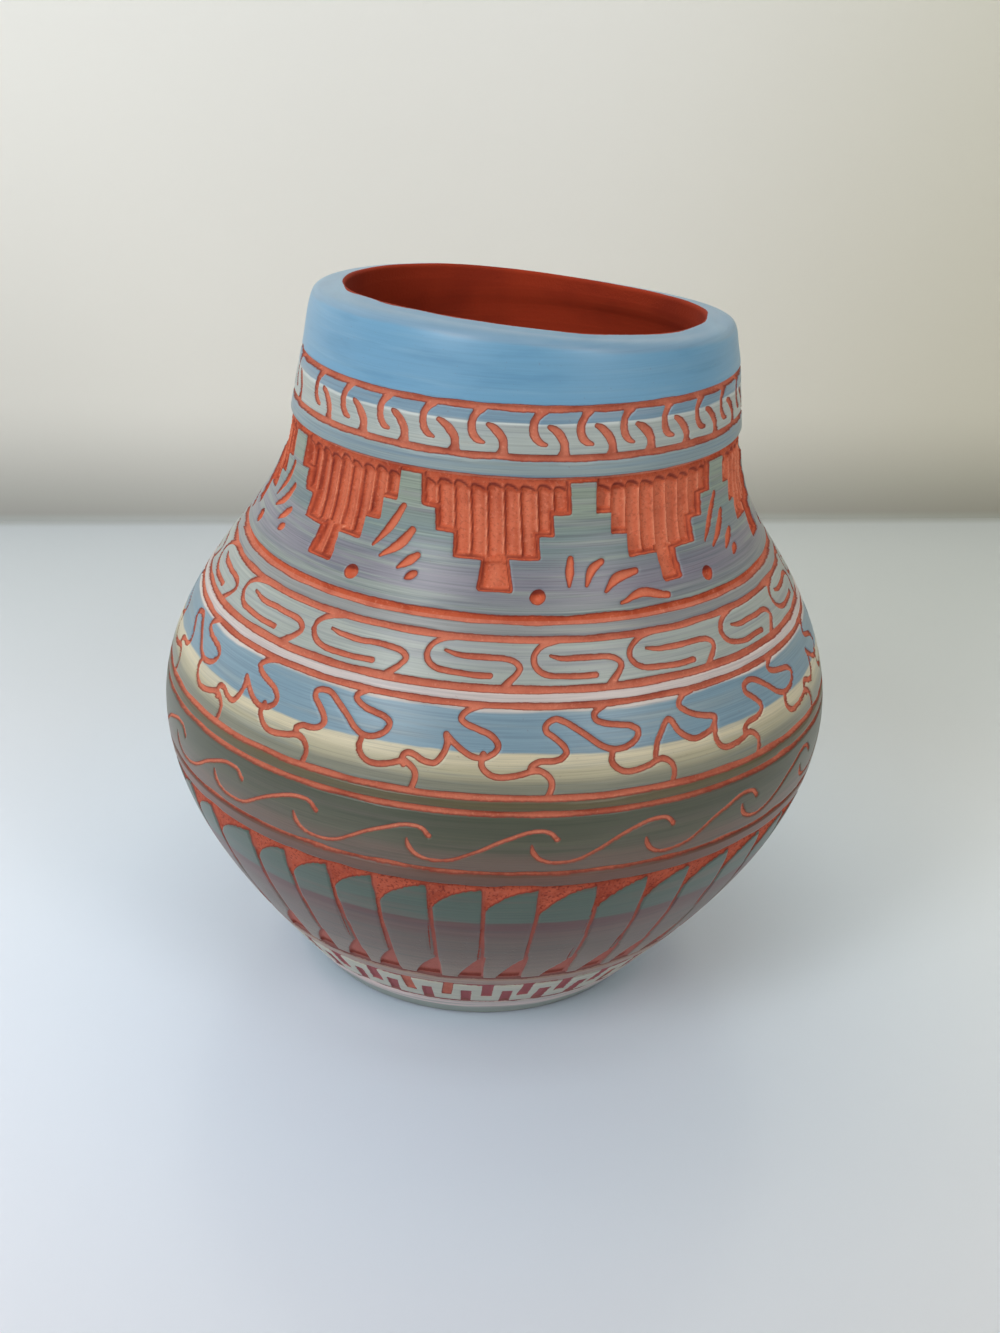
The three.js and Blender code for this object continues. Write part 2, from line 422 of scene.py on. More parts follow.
@dataclass(frozen=True)
class CoatFinish:
    """Brushed colour over clay, with the clay showing wherever it is cut through."""

    tones: tuple[Tone, ...]
    streaks: tuple[Streak, ...] = ()
    roughness: float = 0.5
    bristle: float = 0.5
    sheen: float = 0.6
    grime: Colour = (0.5, 0.52, 0.56, 1.0)
    chalk: Colour = (1.3, 1.28, 1.26, 1.0)
    clay: ClayFinish = ClayFinish()
    dull: Colour = pigment(150, 84, 78)

    def _paint(self, graph: Graph) -> Wire:
        """Lay the tones one above the other and brush the streaks in."""
        rise = graph.attribute("rise") + (graph.noise(14.0, 5.0, 3.0, 1.0) - 0.5) * 1.3
        marks = [
            (tone.colour, rise.eased(tone.above - tone.blend, tone.above + tone.blend))
            for tone in self.tones[1:]
        ]
        for number, streak in enumerate(self.streaks):
            brushed = graph.noise(streak.length, streak.tall, 4.0, 11.0 + 7.0 * number)
            marks.append((streak.colour, brushed.eased(0.5, 0.7) * streak.amount))
        bristles = graph.noise(16.0, 0.2, 3.0, 41.0)
        most = 0.6 * self.bristle
        shades = (
            (self.grime, bristles.eased(0.5, 0.66) * most),
            (self.chalk, bristles.eased(0.48, 0.34) * most),
        )
        return graph.layers(graph.layers(self.tones[0].colour, marks), shades, "MULTIPLY")

    def material(self, name: str) -> bpy.types.Material:
        """Build the material of one coated ring.

        Args:
            name: The material's name.

        Returns:
            The material.
        """
        graph = Graph(name)
        cut = graph.attribute("cut")
        chip = (graph.noise(0.9, 0.7, 4.0, 6.0) - 0.5) * 0.22
        bare = (cut + chip).eased(-0.05, 0.05)
        pits = graph.noise(0.5, 0.45, 2.0, 21.0).eased(0.70, 0.74) * 0.5
        dots = graph.noise(0.42, 0.42, 1.0, 31.0).eased(0.56, 0.66)
        stipple = graph.attribute("stipple") * dots
        within = graph.attribute("rise").eased(INSIDE_RISE, INSIDE_RISE + 0.5)
        clay = graph.layers(self.clay.colour(graph, cut + chip), (
            (self.clay.edge, stipple * 0.75),
            (self.dull, graph.attribute("dull")),
            (InnerClayFinish().colour(graph), within),
        ))
        paint = graph.mix(self._paint(graph), self.clay.edge, pits * 0.35)
        colour = graph.mix(paint, clay, bare)
        bristle = graph.noise(18.0, 0.22, 4.0, 4.0)
        crumb = graph.noise(0.35, 0.35, 4.0, 12.0)
        relief = bristle * (1 - bare) * 0.2 + crumb * bare + bare * -0.4
        height = relief - stipple * 1.5 - pits * 0.5
        varying = {
            "Base Color": colour,
            "Roughness": bare * (MATTE - self.roughness) + self.roughness,
            "Normal": graph.bump(height, 0.5, 0.16),
            "Coat Weight": (1 - bare) * self.sheen,
        }
        same = {"Specular IOR Level": SPECULAR, "Coat Roughness": self.roughness}
        return graph.finish(same, varying)


@dataclass(frozen=True)
class Station:
    """A height of the wall with its radius and slope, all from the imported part."""

    height: float
    radius: float
    slope: float


@dataclass(frozen=True)
class Groove:
    """A line etched right round the pot between two rings."""

    width: float
    depth: float = 0.85
    dull: float = 0.0


HAIR = Groove(0.6, 0.45, 0.85)
STAINED = Groove(0.8, 0.5, 0.8)
THIN = Groove(0.95)
MEDIUM = Groove(1.1)
WIDE = Groove(1.3)


@dataclass
class Wall:
    """The turned outline of the pot, from its foot over the lip to the inner edge."""

    stations: tuple[Station, ...] = (
        Station(0.0, 31.9, 0.8),
        Station(52.3, 59.96, 0.0),
        Station(80.95, 48.1, -0.74),
        Station(96.5, 39.9, -0.18),
        Station(119.65, 36.1, -0.2),
    )
    lip_height: float = 123.35
    lip_fall: float = 0.35
    lip_lift: float = 0.85
    lip_shoulder: float = 0.75
    lip_crown: float = 0.05
    lip_inner_radius: float = 30.1
    lip_outer_radius: float = 36.0
    lip_round_width: float = 3.5
    inner_edge: float = 0.55
    inner_return: float = 2.6
    step: float = 0.05
    lean: float = 0.0324
    lean_from: float = 52.3
    lip_start: float = 114.9
    tilt_right: float = 1.71
    tilt_back: float = 1.61
    wave: float = 0.25
    wave_angle: float = radians(-118)
    back_fall: float = 0.45

    def __post_init__(self) -> None:
        """Trace the outline once, so that each ring can look its points up."""
        rise = np.arange(-0.5, self.round_start, self.step)
        radius = self.wall_radius(rise)
        outline = [np.stack([radius, rise], 1), self._lip()]
        points = np.concatenate(outline)
        run = np.concatenate([[0], np.cumsum(np.hypot(*np.diff(points, axis=0).T))])
        beyond = run[len(rise):] - run[len(rise) - 1] + rise[-1]
        self._rise = np.concatenate([rise, beyond])
        self._radius, self._height = points.T
        self._run = run
        across, up = np.gradient(self._radius, run), np.gradient(self._height, run)
        size = np.hypot(across, up)
        self._out, self._up = up / size, -across / size

    @property
    def round_start(self) -> float:
        """Height at which the lip starts to turn over."""
        return self.stations[-1].height

    @property
    def top(self) -> float:
        """Rise of the outline's end, inside the lip."""
        return float(self._rise[-1])

    def wall_radius(self, height: np.ndarray) -> np.ndarray:
        """Return the outer radius of the wall at given heights."""
        height = np.asarray(height, float)
        radius = np.zeros_like(height)
        last = len(self.stations) - 2
        for i, (below, above) in enumerate(zip(self.stations, self.stations[1:])):
            span = above.height - below.height
            t = (height - below.height) / span
            here = (height >= below.height) | (i == 0)
            here &= (height < above.height) | (i == last)
            curve = hermite(t, below.radius, span * below.slope, above.radius, span * above.slope)
            radius = np.where(here, curve, radius)
        return radius

    def _lip(self) -> np.ndarray:
        """Trace the rolled lip, its nearly flat top and its inner edge."""
        end = self.stations[-1]
        crest = self.lip_height - self.lip_fall
        start = np.array([end.radius, end.height])
        lift = self.lip_lift * (crest - end.height)
        handles = [start, start + [end.slope * lift, lift]]
        for inward, above in ((self.lip_shoulder, 0.0), (self.lip_round_width, self.lip_crown)):
            handles.append(np.array([end.radius - inward, crest + above]))
        t = np.linspace(0, 1, 90)[:, None]
        curl = (1 - t) ** 3 * handles[0] + 3 * t * (1 - t) ** 2 * handles[1]
        curl += 3 * t * t * (1 - t) * handles[2] + t ** 3 * handles[3]
        edge = self.lip_inner_radius + self.inner_edge
        flat = np.linspace(curl[-1], [edge, self.lip_height], 40)[1:]
        turn = np.linspace(0, math.pi / 2, 16)[1:]
        across, fall = self.inner_edge * np.sin(turn), self.inner_edge * (1 - np.cos(turn))
        brim = np.stack([edge - across, self.lip_height - fall], 1)
        low = self.lip_height - self.inner_return
        down = np.linspace(brim[-1], [self.lip_inner_radius, low], 30)[1:]
        return np.concatenate([curl, flat, brim, down])

    def run(self, rise: np.ndarray) -> np.ndarray:
        """Return the distance along the outline, in mm."""
        return np.interp(rise, self._rise, self._run)

    def run_to(self, rise: float) -> float:
        """Return the distance along the outline up to one rise."""
        return float(np.interp(rise, self._rise, self._run))

    def rise_at(self, run: np.ndarray) -> np.ndarray:
        """Return the rise at a distance along the outline."""
        return np.interp(run, self._run, self._rise)

    def radius(self, rise: np.ndarray) -> np.ndarray:
        """Return the outline's radius at a rise."""
        return np.interp(rise, self._rise, self._radius)

    def points(self, angle: np.ndarray, rise: np.ndarray, inward: Numbers) -> np.ndarray:
        """Place points on the pot, before it is leaned and its lip tilted.

        Args:
            angle: Angle of each point round the pot.
            rise: Rise of each point along the outline.
            inward: Distance under the outline, square to it.

        Returns:
            One row of x, y and z in mm for each point.
        """
        radius = self.radius(rise) - inward * np.interp(rise, self._rise, self._out)
        height = np.interp(rise, self._rise, self._height)
        height = height - inward * np.interp(rise, self._rise, self._up)
        return np.stack([radius * np.cos(angle), radius * np.sin(angle), height], 1)

    def section(self, rise: float, inward: float = 0.0) -> tuple[float, float]:
        """Return the radius and height of the wall's section at a rise."""
        radius, _, height = self.points(np.zeros(1), np.array([rise]), inward)[0]
        return float(radius), float(height)

    def settle(self, points: np.ndarray) -> np.ndarray:
        """Lean the pot and tilt its lip, as it was thrown by hand."""
        x, y, z = points.T
        angle = np.arctan2(y, x)
        outward = smooth(np.hypot(x, y), self.lip_inner_radius, self.lip_outer_radius)
        lift = self.wave * np.cos(3 * (angle - self.wave_angle))
        lift -= self.tilt_right * np.cos(angle) + self.tilt_back * np.sin(angle)
        lift -= self.back_fall * np.maximum(0, np.sin(angle)) * outward
        share = smooth(z, self.lip_start, self.round_start)
        return np.stack([x + self.lean * (z - self.lean_from), y, z + share * lift], 1)


class Wobble:
    """Slow unevenness that closes on itself round the pot."""

    def __init__(self, seed: int, turns: int, tall: float, terms: int = 14) -> None:
        """Draw the waves that make it up.

        Args:
            seed: Seed of the draw.
            turns: Most waves round the pot.
            tall: Typical height of a wave, in mm.
            terms: How many waves are added.
        """
        draw = np.random.default_rng(seed)
        self._turns = draw.integers(1, turns + 1, terms)
        self._climb = draw.normal(0, 1 / tall, terms) * FULL_TURN
        self._start = draw.uniform(0, FULL_TURN, terms)
        self._size = draw.uniform(0.5, 1.0, terms)
        self._size /= math.sqrt((self._size ** 2).sum() / 2)

    def at(self, angle: np.ndarray, height: np.ndarray) -> np.ndarray:
        """Return the unevenness, about 1 at most places."""
        total = np.zeros(np.broadcast(angle, height).shape)
        for turns, climb, start, size in zip(self._turns, self._climb, self._start, self._size):
            total += size * np.cos(turns * angle + climb * height + start)
        return total


class Skin:
    """The outer face of a ring while it is being cut."""

    def __init__(self, wall: Wall, angle: np.ndarray, rise: np.ndarray, seed: int) -> None:
        """Start with an uncut face.

        Args:
            wall: The pot's wall.
            angle: Angle of each point.
            rise: Rise of each point.
            seed: Seed of the hand's unevenness.
        """
        self.wall = wall
        self.draw = np.random.default_rng(seed)
        self.true_angle, self.true_rise = angle, rise
        self.radius = wall.radius(rise)
        self.true_run = wall.run(rise)
        shake, slip = (Wobble(seed + number, 60, 16.0).at(angle, rise) for number in (1, 2))
        self.angle = angle + STRAY_ACROSS * shake / self.radius
        self.run = self.true_run + STRAY_UP * slip
        self.cut = np.full(len(angle), OUTSIDE)
        self.depth, self.stipple, self.dull, self.painted_light_and_tone = np.zeros((4, len(angle)))

    def near(self, centre: float, half: float) -> np.ndarray:
        """Return the points within an angle of a centre."""
        return np.nonzero(np.abs(wrapped(self.angle - centre)) < half)[0]

    def lower(
        self, chosen: np.ndarray, inside: np.ndarray, depth: np.ndarray,
        dull: Numbers = 0.0, stipple: Numbers = 0.0, painted_light_and_tone: Numbers = 0.0,
    ) -> None:
        """Cut the chosen points, and mark the clay where this cut is the widest one there.

        Args:
            chosen: Which points.
            inside: Distance inside the cut, negative outside it.
            depth: How deep the cut is there.
            dull: How much paint has stained the clay, from 0 to 1.
            stipple: How densely the clay is dotted, from 0 to 1.
            painted_light_and_tone: How much painted light makes the clay lighter, or painted shade
                darker if negative.
        """
        leads = inside > self.cut[chosen]
        marks = ((self.cut, inside), (self.dull, dull), (self.stipple, stipple), (self.painted_light_and_tone, painted_light_and_tone))
        for layer, value in marks:
            layer[chosen] = np.where(leads, value, layer[chosen])
        self.depth[chosen] = np.maximum(self.depth[chosen], np.where(inside > 0, depth, 0))

    def stroke(
        self, path: Sequence[Place], deep: float,
        fade: Sequence[float] = (0, 0), painted_light_and_tone: float = 0.0,
    ) -> None:
        """Draw a tool along a smooth path.

        Args:
            path: Angle, rise and half width at each point of the path.
            deep: Depth where the stroke is widest.
            fade: How dull the clay is at the start and at the end.
            painted_light_and_tone: How much painted light makes the clay lighter along the middle
                of the stroke.
        """
        line = flowing(np.array(path, float))
        margin = STROKE_REACH / float(self.radius.min())
        centre = float(line[:, 0].min() + line[:, 0].max()) / 2
        half = float(line[:, 0].max() - line[:, 0].min()) / 2 + margin
        chosen = self.near(centre, half)
        if not len(chosen):
            return
        across = wrapped(line[None, :, 0] - self.angle[chosen, None]) * self.radius[chosen, None]
        up = self.wall.run(line[:, 1])[None, :] - self.run[chosen, None]
        step_across, step_up = np.diff(across, axis=1), np.diff(up, axis=1)
        length = np.maximum(step_across ** 2 + step_up ** 2, 1e-9)
        t = np.clip(-(across[:, :-1] * step_across + up[:, :-1] * step_up) / length, 0, 1)
        width = line[None, :-1, 2] + t * np.diff(line[:, 2])[None, :]
        along = (t + np.arange(len(line) - 1)) / (len(line) - 1)
        off = np.hypot(across[:, :-1] + t * step_across, up[:, :-1] + t * step_up)
        best = (width - off).argmax(1)[:, None]
        width = np.take_along_axis(width, best, 1)[:, 0]
        inside = width - np.take_along_axis(off, best, 1)[:, 0]
        dull = fade[0] + np.take_along_axis(along, best, 1)[:, 0] * (fade[1] - fade[0])
        depth = deep * np.sqrt(width / float(line[:, 2].max()))
        depth = depth * bowl(inside / np.minimum(width, STROKE_SLOPE))
        self.lower(chosen, inside, depth, dull, painted_light_and_tone=painted_light_and_tone * np.clip(inside / CUT_SLOPE, 0, 1))

    def band(self, edge: float, upward: bool, groove: Groove, seed: int) -> None:
        """Cut half of the groove that runs along one edge of the ring.

        Args:
            edge: Rise of the ring's edge.
            upward: Whether the groove lies above the edge.
            groove: The groove.
            seed: Seed of its unevenness.
        """
        waver = 0.04 * Wobble(seed, 40, 200.0).at(self.true_angle, self.true_rise)
        distance = self.true_run - self.wall.run_to(edge)
        inside = (distance if upward else -distance) + np.clip(waver, -0.16, 0.16)
        depth = groove.depth * bowl(inside / min(GROOVE_SLOPE, groove.width / 2 - 0.1))
        self.lower(np.arange(len(inside)), inside, depth, groove.dull)


def flowing(path: np.ndarray, steps: int = 6) -> np.ndarray:
    """Draw a smooth curve through the points of a path.

    Args:
        path: The points, one to a row.
        steps: Pieces between two points.

    Returns:
        The denser path.
    """
    before = np.concatenate([[2 * path[0] - path[1]], path[:-1]])
    after = np.concatenate([path[1:], [2 * path[-1] - path[-2]]])
    slope = (after - before) / 2
    share = np.linspace(0, 1, steps, endpoint=False)[:, None]
    rows = [
        hermite(share, path[i], slope[i], path[i + 1], slope[i + 1]) for i in range(len(path) - 1)
    ]
    return np.concatenate([*rows, path[-1:]])


def mesh_points(piece: bpy.types.Object) -> np.ndarray:
    """Read a mesh's points, in mm."""
    flat = np.empty(len(piece.data.vertices) * 3)
    piece.data.vertices.foreach_get("co", flat)
    return flat.reshape(-1, 3) / MM


def angles(points: np.ndarray) -> np.ndarray:
    """Return the angle of each point round the pot."""
    return np.arctan2(points[:, 1], points[:, 0])


def set_mesh_points(piece: bpy.types.Object, points: np.ndarray) -> None:
    """Write a mesh's points, given in mm."""
    piece.data.vertices.foreach_set("co", (points * MM).ravel())
    piece.data.update()


def set_attribute(piece: bpy.types.Object, name: str, values: np.ndarray) -> None:
    """Store one number for each point of a mesh."""
    layer = piece.data.attributes.new(name, "FLOAT", "POINT")
    layer.data.foreach_set("value", values.astype(np.float32))


def select_only(
    piece: bpy.types.Object, points: np.ndarray | None = None, edges: np.ndarray | None = None,
) -> None:
    """Select parts of a mesh and leave it in edit mode.

    Args:
        piece: The mesh object.
        points: Which points to select, or None.
        edges: Which edges to select, or None.
    """
    mesh = piece.data
    blank = np.zeros(len(mesh.polygons), bool)
    mesh.polygons.foreach_set("select", blank)
    ends = np.empty(len(mesh.edges) * 2, np.int64)
    mesh.edges.foreach_get("vertices", ends)
    ends = ends.reshape(-1, 2)
    if points is None:
        points = np.zeros(len(mesh.vertices), bool)
        points[ends[edges].ravel()] = True
    if edges is None:
        edges = points[ends].all(1)
    mesh.vertices.foreach_set("select", points)
    mesh.edges.foreach_set("select", edges)
    bpy.context.tool_settings.mesh_select_mode = (False, True, False)
    bpy.ops.object.mode_set(mode="EDIT")


def leave_edit(crease: float = 0.0) -> None:
    """Go back to object mode, and shade faces smooth across all but sharper edges if asked."""
    bpy.ops.object.mode_set(mode="OBJECT")
    if crease:
        bpy.ops.object.shade_smooth_by_angle(angle=radians(crease))


def dress(piece: bpy.types.Object, material: bpy.types.Material, node: str) -> None:
    """Give a finished piece its material and tell the frame what it is.

    Args:
        piece: The piece.
        material: Its material.
        node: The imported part's node that it stands for.
    """
    piece.data.materials.clear()
    piece.data.materials.append(material)
    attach(piece, "root")
    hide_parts(node)
    LOG.info("%s: %d faces", piece.name, len(piece.data.polygons))


@dataclass
class Ring:
    """One closed ring of brushed colour, with half of the groove at each side."""

    node: str
    slot: str
    low: float
    high: float
    below: Groove | None
    above: Groove | None
    finish: CoatFinish
    spacing: float
    seed: int
    wall: Wall

    @property
    def start(self) -> float:
        """Rise of the ring's lower end, in the middle of the groove below it."""
        return self.low - (self.below.width / 2 if self.below else 0)

    @property
    def end(self) -> float:
        """Rise of the ring's upper end, in the middle of the groove above it."""
        return self.high + (self.above.width / 2 if self.above else 0)

    def etch(self, skin: Skin) -> None:
        """Cut the ring's own ornament, which a plain stripe doesn't have."""

    def _path(
        self, place: float, pitch: float, shape: Iterable[Point], widths: Iterable[float],
    ) -> list[Place]:
        """Fit a shape to one repeat of the ring's ornament.

        Args:
            place: Angle where the repeat starts.
            pitch: Angle from one repeat to the next.
            shape: Points of the shape, in shares of the pitch and of the ring's height.
            widths: Half width of the cut at each point, in mm.

        Returns:
            Angle, rise and half width at each point.
        """
        tall = self.high - self.low
        return [
            (place + across * pitch, self.low + up * tall, width)
            for (across, up), width in zip(shape, widths)
        ]

    def _tube(self) -> bpy.types.Object:
        """Add an open tube and cut it into rows of nearly square faces."""
        widest = float(self.wall.radius(np.linspace(self.start, self.end, 40)).max())
        columns = round(FULL_TURN * widest / self.spacing)
        long = self.wall.run_to(self.end) - self.wall.run_to(self.start)
        rows = max(4, round(long / self.spacing))
        bpy.ops.object.select_all(action="DESELECT")
        bpy.ops.mesh.primitive_cylinder_add(
            vertices=columns, radius=1.0, depth=1.0, end_fill_type="NOTHING")
        tube = bpy.context.object
        tube.name = tube.data.name = f"{self.node}_etched"
        ends = np.empty(len(tube.data.edges) * 2, np.int64)
        tube.data.edges.foreach_get("vertices", ends)
        heights = mesh_points(tube)[:, 2][ends.reshape(-1, 2)]
        select_only(tube, edges=np.abs(np.diff(heights, axis=1))[:, 0] > 1)
        bpy.ops.mesh.subdivide_edgering(number_cuts=rows - 1, interpolation="LINEAR")
        leave_edit()
        return tube

    def _back(self, tube: bpy.types.Object, rise: np.ndarray) -> np.ndarray:
        """Give the tube a thickness by drawing its two ends in and bridging them.

        Args:
            tube: The tube, laid on the wall.
            rise: Rise of each of its points.

        Returns:
            The rise of every point of the thick ring, the new ones last.
        """
        count = len(rise)
        for at_end in (rise < self.start + CLOSE, rise > self.end - CLOSE):
            edge = float(rise[at_end][0])
            radius, height = self.wall.section(edge)
            back_radius, back_height = self.wall.section(edge, SKIN_BACK)
            chosen = np.zeros(len(tube.data.vertices), bool)
            chosen[:count] = at_end
            select_only(tube, points=chosen)
            step = {"value": (0, 0, (back_height - height) * MM)}
            bpy.ops.mesh.extrude_edges_move(TRANSFORM_OT_translate=step)
            ratio = back_radius / radius
            centre = (0, 0, back_height * MM)
            bpy.ops.transform.resize(value=(ratio, ratio, 1), center_override=centre)
            leave_edit()
        select_only(tube, points=np.arange(len(tube.data.vertices)) >= count)
        cuts = max(1, round((self.end - self.start) / 3))
        bpy.ops.mesh.bridge_edge_loops(number_cuts=cuts, interpolation="LINEAR")
        bpy.ops.mesh.select_all(action="SELECT")
        bpy.ops.mesh.normals_make_consistent(inside=False)
        leave_edit(crease=50)
        return np.concatenate([rise, self._inner_rise(mesh_points(tube)[count:])])

    def _inner_rise(self, points: np.ndarray) -> np.ndarray:
        """Return the rise of the inner face's points."""
        low, high = (self.wall.section(rise, SKIN_BACK)[1] for rise in (self.start, self.end))
        share = np.clip((points[:, 2] - low) / (high - low), 0, 1)
        return self.start + share * (self.end - self.start)

    def build(self) -> None:
        """Build, cut and dress the ring."""
        tube = self._tube()
        points = mesh_points(tube)
        low, high = self.wall.run_to(self.start), self.wall.run_to(self.end)
        rise = self.wall.rise_at(low + (points[:, 2] * MM + 0.5) * (high - low))
        set_mesh_points(tube, self.wall.points(angles(points), rise, 0.0))
        count = len(rise)
        rise = self._back(tube, rise)
        angle = angles(mesh_points(tube))
        skin = Skin(self.wall, angle[:count], rise[:count], self.seed)
        for edge, upward, groove in ((self.low, False, self.below), (self.high, True, self.above)):
            if groove:
                skin.band(edge, upward, groove, self.seed * 7 + upward)
        self.etch(skin)
        rough = np.clip(skin.cut / 0.3, 0, 1) * skin.draw.normal(0, CUT_GRAIN, count)
        ends = (rise[:count] < self.start + CLOSE) | (rise[:count] > self.end - CLOSE)
        inward = np.full(len(rise), SKIN_BACK)
        depth = skin.depth + np.where(ends, 0, rough)
        inward[:count] = np.clip(depth, 0, SKIN_BACK - LEAST_SKIN)
        set_mesh_points(tube, self.wall.settle(self.wall.points(angle, rise, inward)))
        set_attribute(tube, "rise", rise)
        layers = {"cut": skin.cut, "stipple": skin.stipple, "dull": skin.dull, "painted_light_and_tone": skin.painted_light_and_tone}
        for name, values in layers.items():
            behind = np.full(len(rise) - count, float(name == "cut"))
            set_attribute(tube, name, np.concatenate([values, behind]))
        dress(tube, self.finish.material(f"{self.node}_paint"), self.node)


@dataclass
class RimCoat(Ring):
    """The smooth blue collar that rolls over the lip to its inner edge."""

    bare_edge: float = 3.05

    def _inner_rise(self, points: np.ndarray) -> np.ndarray:
        """Return the rise of the inner face's points, which run from the groove to the lip."""
        share = np.clip((points[:, 2] - points[:, 2].min()) / np.ptp(points[:, 2]), 0, 1)
        return self.start + share * (self.end - self.start)

    def etch(self, skin: Skin) -> None:
        """Leave the inner edge bare, where the brush stopped."""
        waver = Wobble(self.seed + 5, 20, 50.0).at(skin.true_angle, skin.true_rise)
        stop = self.high - self.bare_edge + 0.15 * waver
        skin.cut = np.maximum(skin.cut, skin.true_rise - stop)


@dataclass
class ScrollRing(Ring):
    """Pairs of hooks round the neck, one hanging and one standing."""

    front: tuple[float, ...] = (
        -167.0, -148.8, -136.0, -123.5, -111.6, -99.8, -85.5, -74.4, -63.8, -52.4, -40.6, -29.4,
    )
    total: int = 30
    pitch: float = radians(12)
    half: float = 0.62
    hanging: tuple[Point, ...] = (
        (0.03, 1.1), (-0.05, 0.93), (-0.11, 0.78), (-0.12, 0.6), (-0.08, 0.42), (0.01, 0.29),
        (0.13, 0.23),
    )
    standing: tuple[Point, ...] = (
        (0.19, 0.67), (0.31, 0.59), (0.43, 0.45), (0.52, 0.28), (0.54, 0.1), (0.53, -0.08),
    )
    hanging_widths: tuple[float, ...] = (1.7, 1.05, 1.0, 1.05, 1.05, 0.9, 0.45)
    standing_widths: tuple[float, ...] = (0.6, 0.95, 1.1, 1.1, 1.15, 1.8)

    def etch(self, skin: Skin) -> None:
        """Cut the hooks."""
        hooks = ((self.hanging, self.hanging_widths), (self.standing, self.standing_widths))
        for place in round_the_pot(self.front, self.total):
            for shape, widths in hooks:
                pitch = self.pitch * (1 + skin.draw.uniform(-0.08, 0.08))
                path = self._path(place, pitch, shape, (self.half * width for width in widths))
                skin.stroke(path, 0.8)


@dataclass
class MeanderRing(Ring):
    """Running spirals, each of a curl that hangs and one that stands."""

    front: tuple[float, ...] = (-170.8, -149.6, -126.2, -103.6, -84.6, -66.4, -45.1)
    total: int = 18
    half: float = 0.5
    hanging: tuple[Point, ...] = (
        (0.26, 1.1), (0.14, 1.0), (0.05, 0.88), (0.0, 0.68), (0.02, 0.46), (0.1, 0.29),
        (0.24, 0.22), (0.42, 0.205), (0.6, 0.21),
    )
    standing: tuple[Point, ...] = (
        (0.17, 0.72), (0.28, 0.655), (0.42, 0.64), (0.58, 0.645), (0.72, 0.64), (0.82, 0.58),
        (0.87, 0.43), (0.84, 0.26), (0.78, 0.08), (0.74, -0.08),
    )

    def etch(self, skin: Skin) -> None:
        """Cut the spirals."""
        for place, following in neighbours(self.front, self.total):
            sag = skin.draw.uniform(-0.03, 0.03)
            for shape, first, last in ((self.hanging, 1.3, 1.0), (self.standing, 0.55, 1.5)):
                along = np.linspace(0, 1, len(shape))
                widths = self.half * np.interp(along, [0, 0.15, 0.8, 1], [first, 1, 1, last])
                moved = [(across + sag, up + sag * (0 < up < 1)) for across, up in shape]
                skin.stroke(self._path(place, following - place, moved, widths), STROKE_DEPTH)


class Turn(Enum):
    """The shapes that the winding line takes between its legs, each drawn from its left leg on."""

    SPIKE = (
        ((-0.07, 0.26), (-0.09, 0.35), (-0.06, 0.41), (0.0, 0.4), (0.07, 0.35), (0.15, 0.34),
         (0.2, 0.43), (0.23, 0.58), (0.215, 0.69)),
        ((0.215, 0.69), (0.3, 0.58), (0.39, 0.49), (0.48, 0.45), (0.56, 0.48), (0.62, 0.57),
         (0.6, 0.66), (0.54, 0.73), (0.45, 0.78), (0.36, 0.83), (0.32, 0.88), (0.34, 0.94),
         (0.41, 1.0), (0.5, 1.04)),
    )
    SPIRAL = (
        ((-0.1, 0.3), (-0.13, 0.36), (-0.07, 0.42), (0.03, 0.43), (0.1, 0.46), (0.14, 0.53),
         (0.11, 0.62), (0.04, 0.71), (-0.02, 0.78), (-0.02, 0.86), (0.05, 0.9), (0.13, 0.88),
         (0.22, 0.8), (0.33, 0.68), (0.42, 0.58), (0.52, 0.52), (0.62, 0.53), (0.71, 0.6),
         (0.74, 0.7), (0.68, 0.77), (0.58, 0.8), (0.47, 0.83), (0.39, 0.88), (0.38, 0.95),
         (0.47, 1.03)),
    )
    HUMP = (
        ((-0.15, 0.3), (-0.12, 0.48), (-0.06, 0.61), (0.0, 0.72), (0.05, 0.71), (0.11, 0.57),
         (0.19, 0.48), (0.28, 0.43), (0.39, 0.45), (0.47, 0.49), (0.52, 0.58), (0.51, 0.63),
         (0.42, 0.67), (0.32, 0.71), (0.23, 0.77), (0.16, 0.85), (0.17, 0.94), (0.23, 1.0),
         (0.34, 1.03)),
    )


@dataclass
class WindingRing(Ring):
    """A line that wanders round the belly between two grooves."""

    front: tuple[float, ...] = (-141.0, -120.8, -102.5, -82.1, -62.1, -43.9)
    total: int = 18
    half: float = 0.52
    leg: tuple[Point, ...] = ((0.0, -0.06), (0.03, 0.09), (0.02, 0.2), (-0.04, 0.28), (-0.1, 0.3))
    bay: tuple[Point, ...] = (
        (0.51, 0.5), (0.5, 0.38), (0.54, 0.28), (0.61, 0.22), (0.7, 0.22), (0.8, 0.25),
        (0.88, 0.29), (0.93, 0.3),
    )
    turns: tuple[Turn, ...] = (
        Turn.SPIKE, Turn.SPIRAL, Turn.SPIKE, Turn.SPIRAL, Turn.HUMP, Turn.SPIRAL,
    )

    def etch(self, skin: Skin) -> None:
        """Cut the line, with every repeat a little different."""
        for number, (place, following) in enumerate(neighbours(self.front, self.total)):
            turn = self.turns[number % len(self.turns)]
            lift = skin.draw.uniform(-0.02, 0.02)
            for shape in (self.leg, *turn.value, self.bay):
                moved = [(across, up + lift * (0.3 < up < 0.9)) for across, up in shape]
                path = self._path(place, following - place, moved, [self.half] * len(shape))
                skin.stroke(path, STROKE_DEPTH)


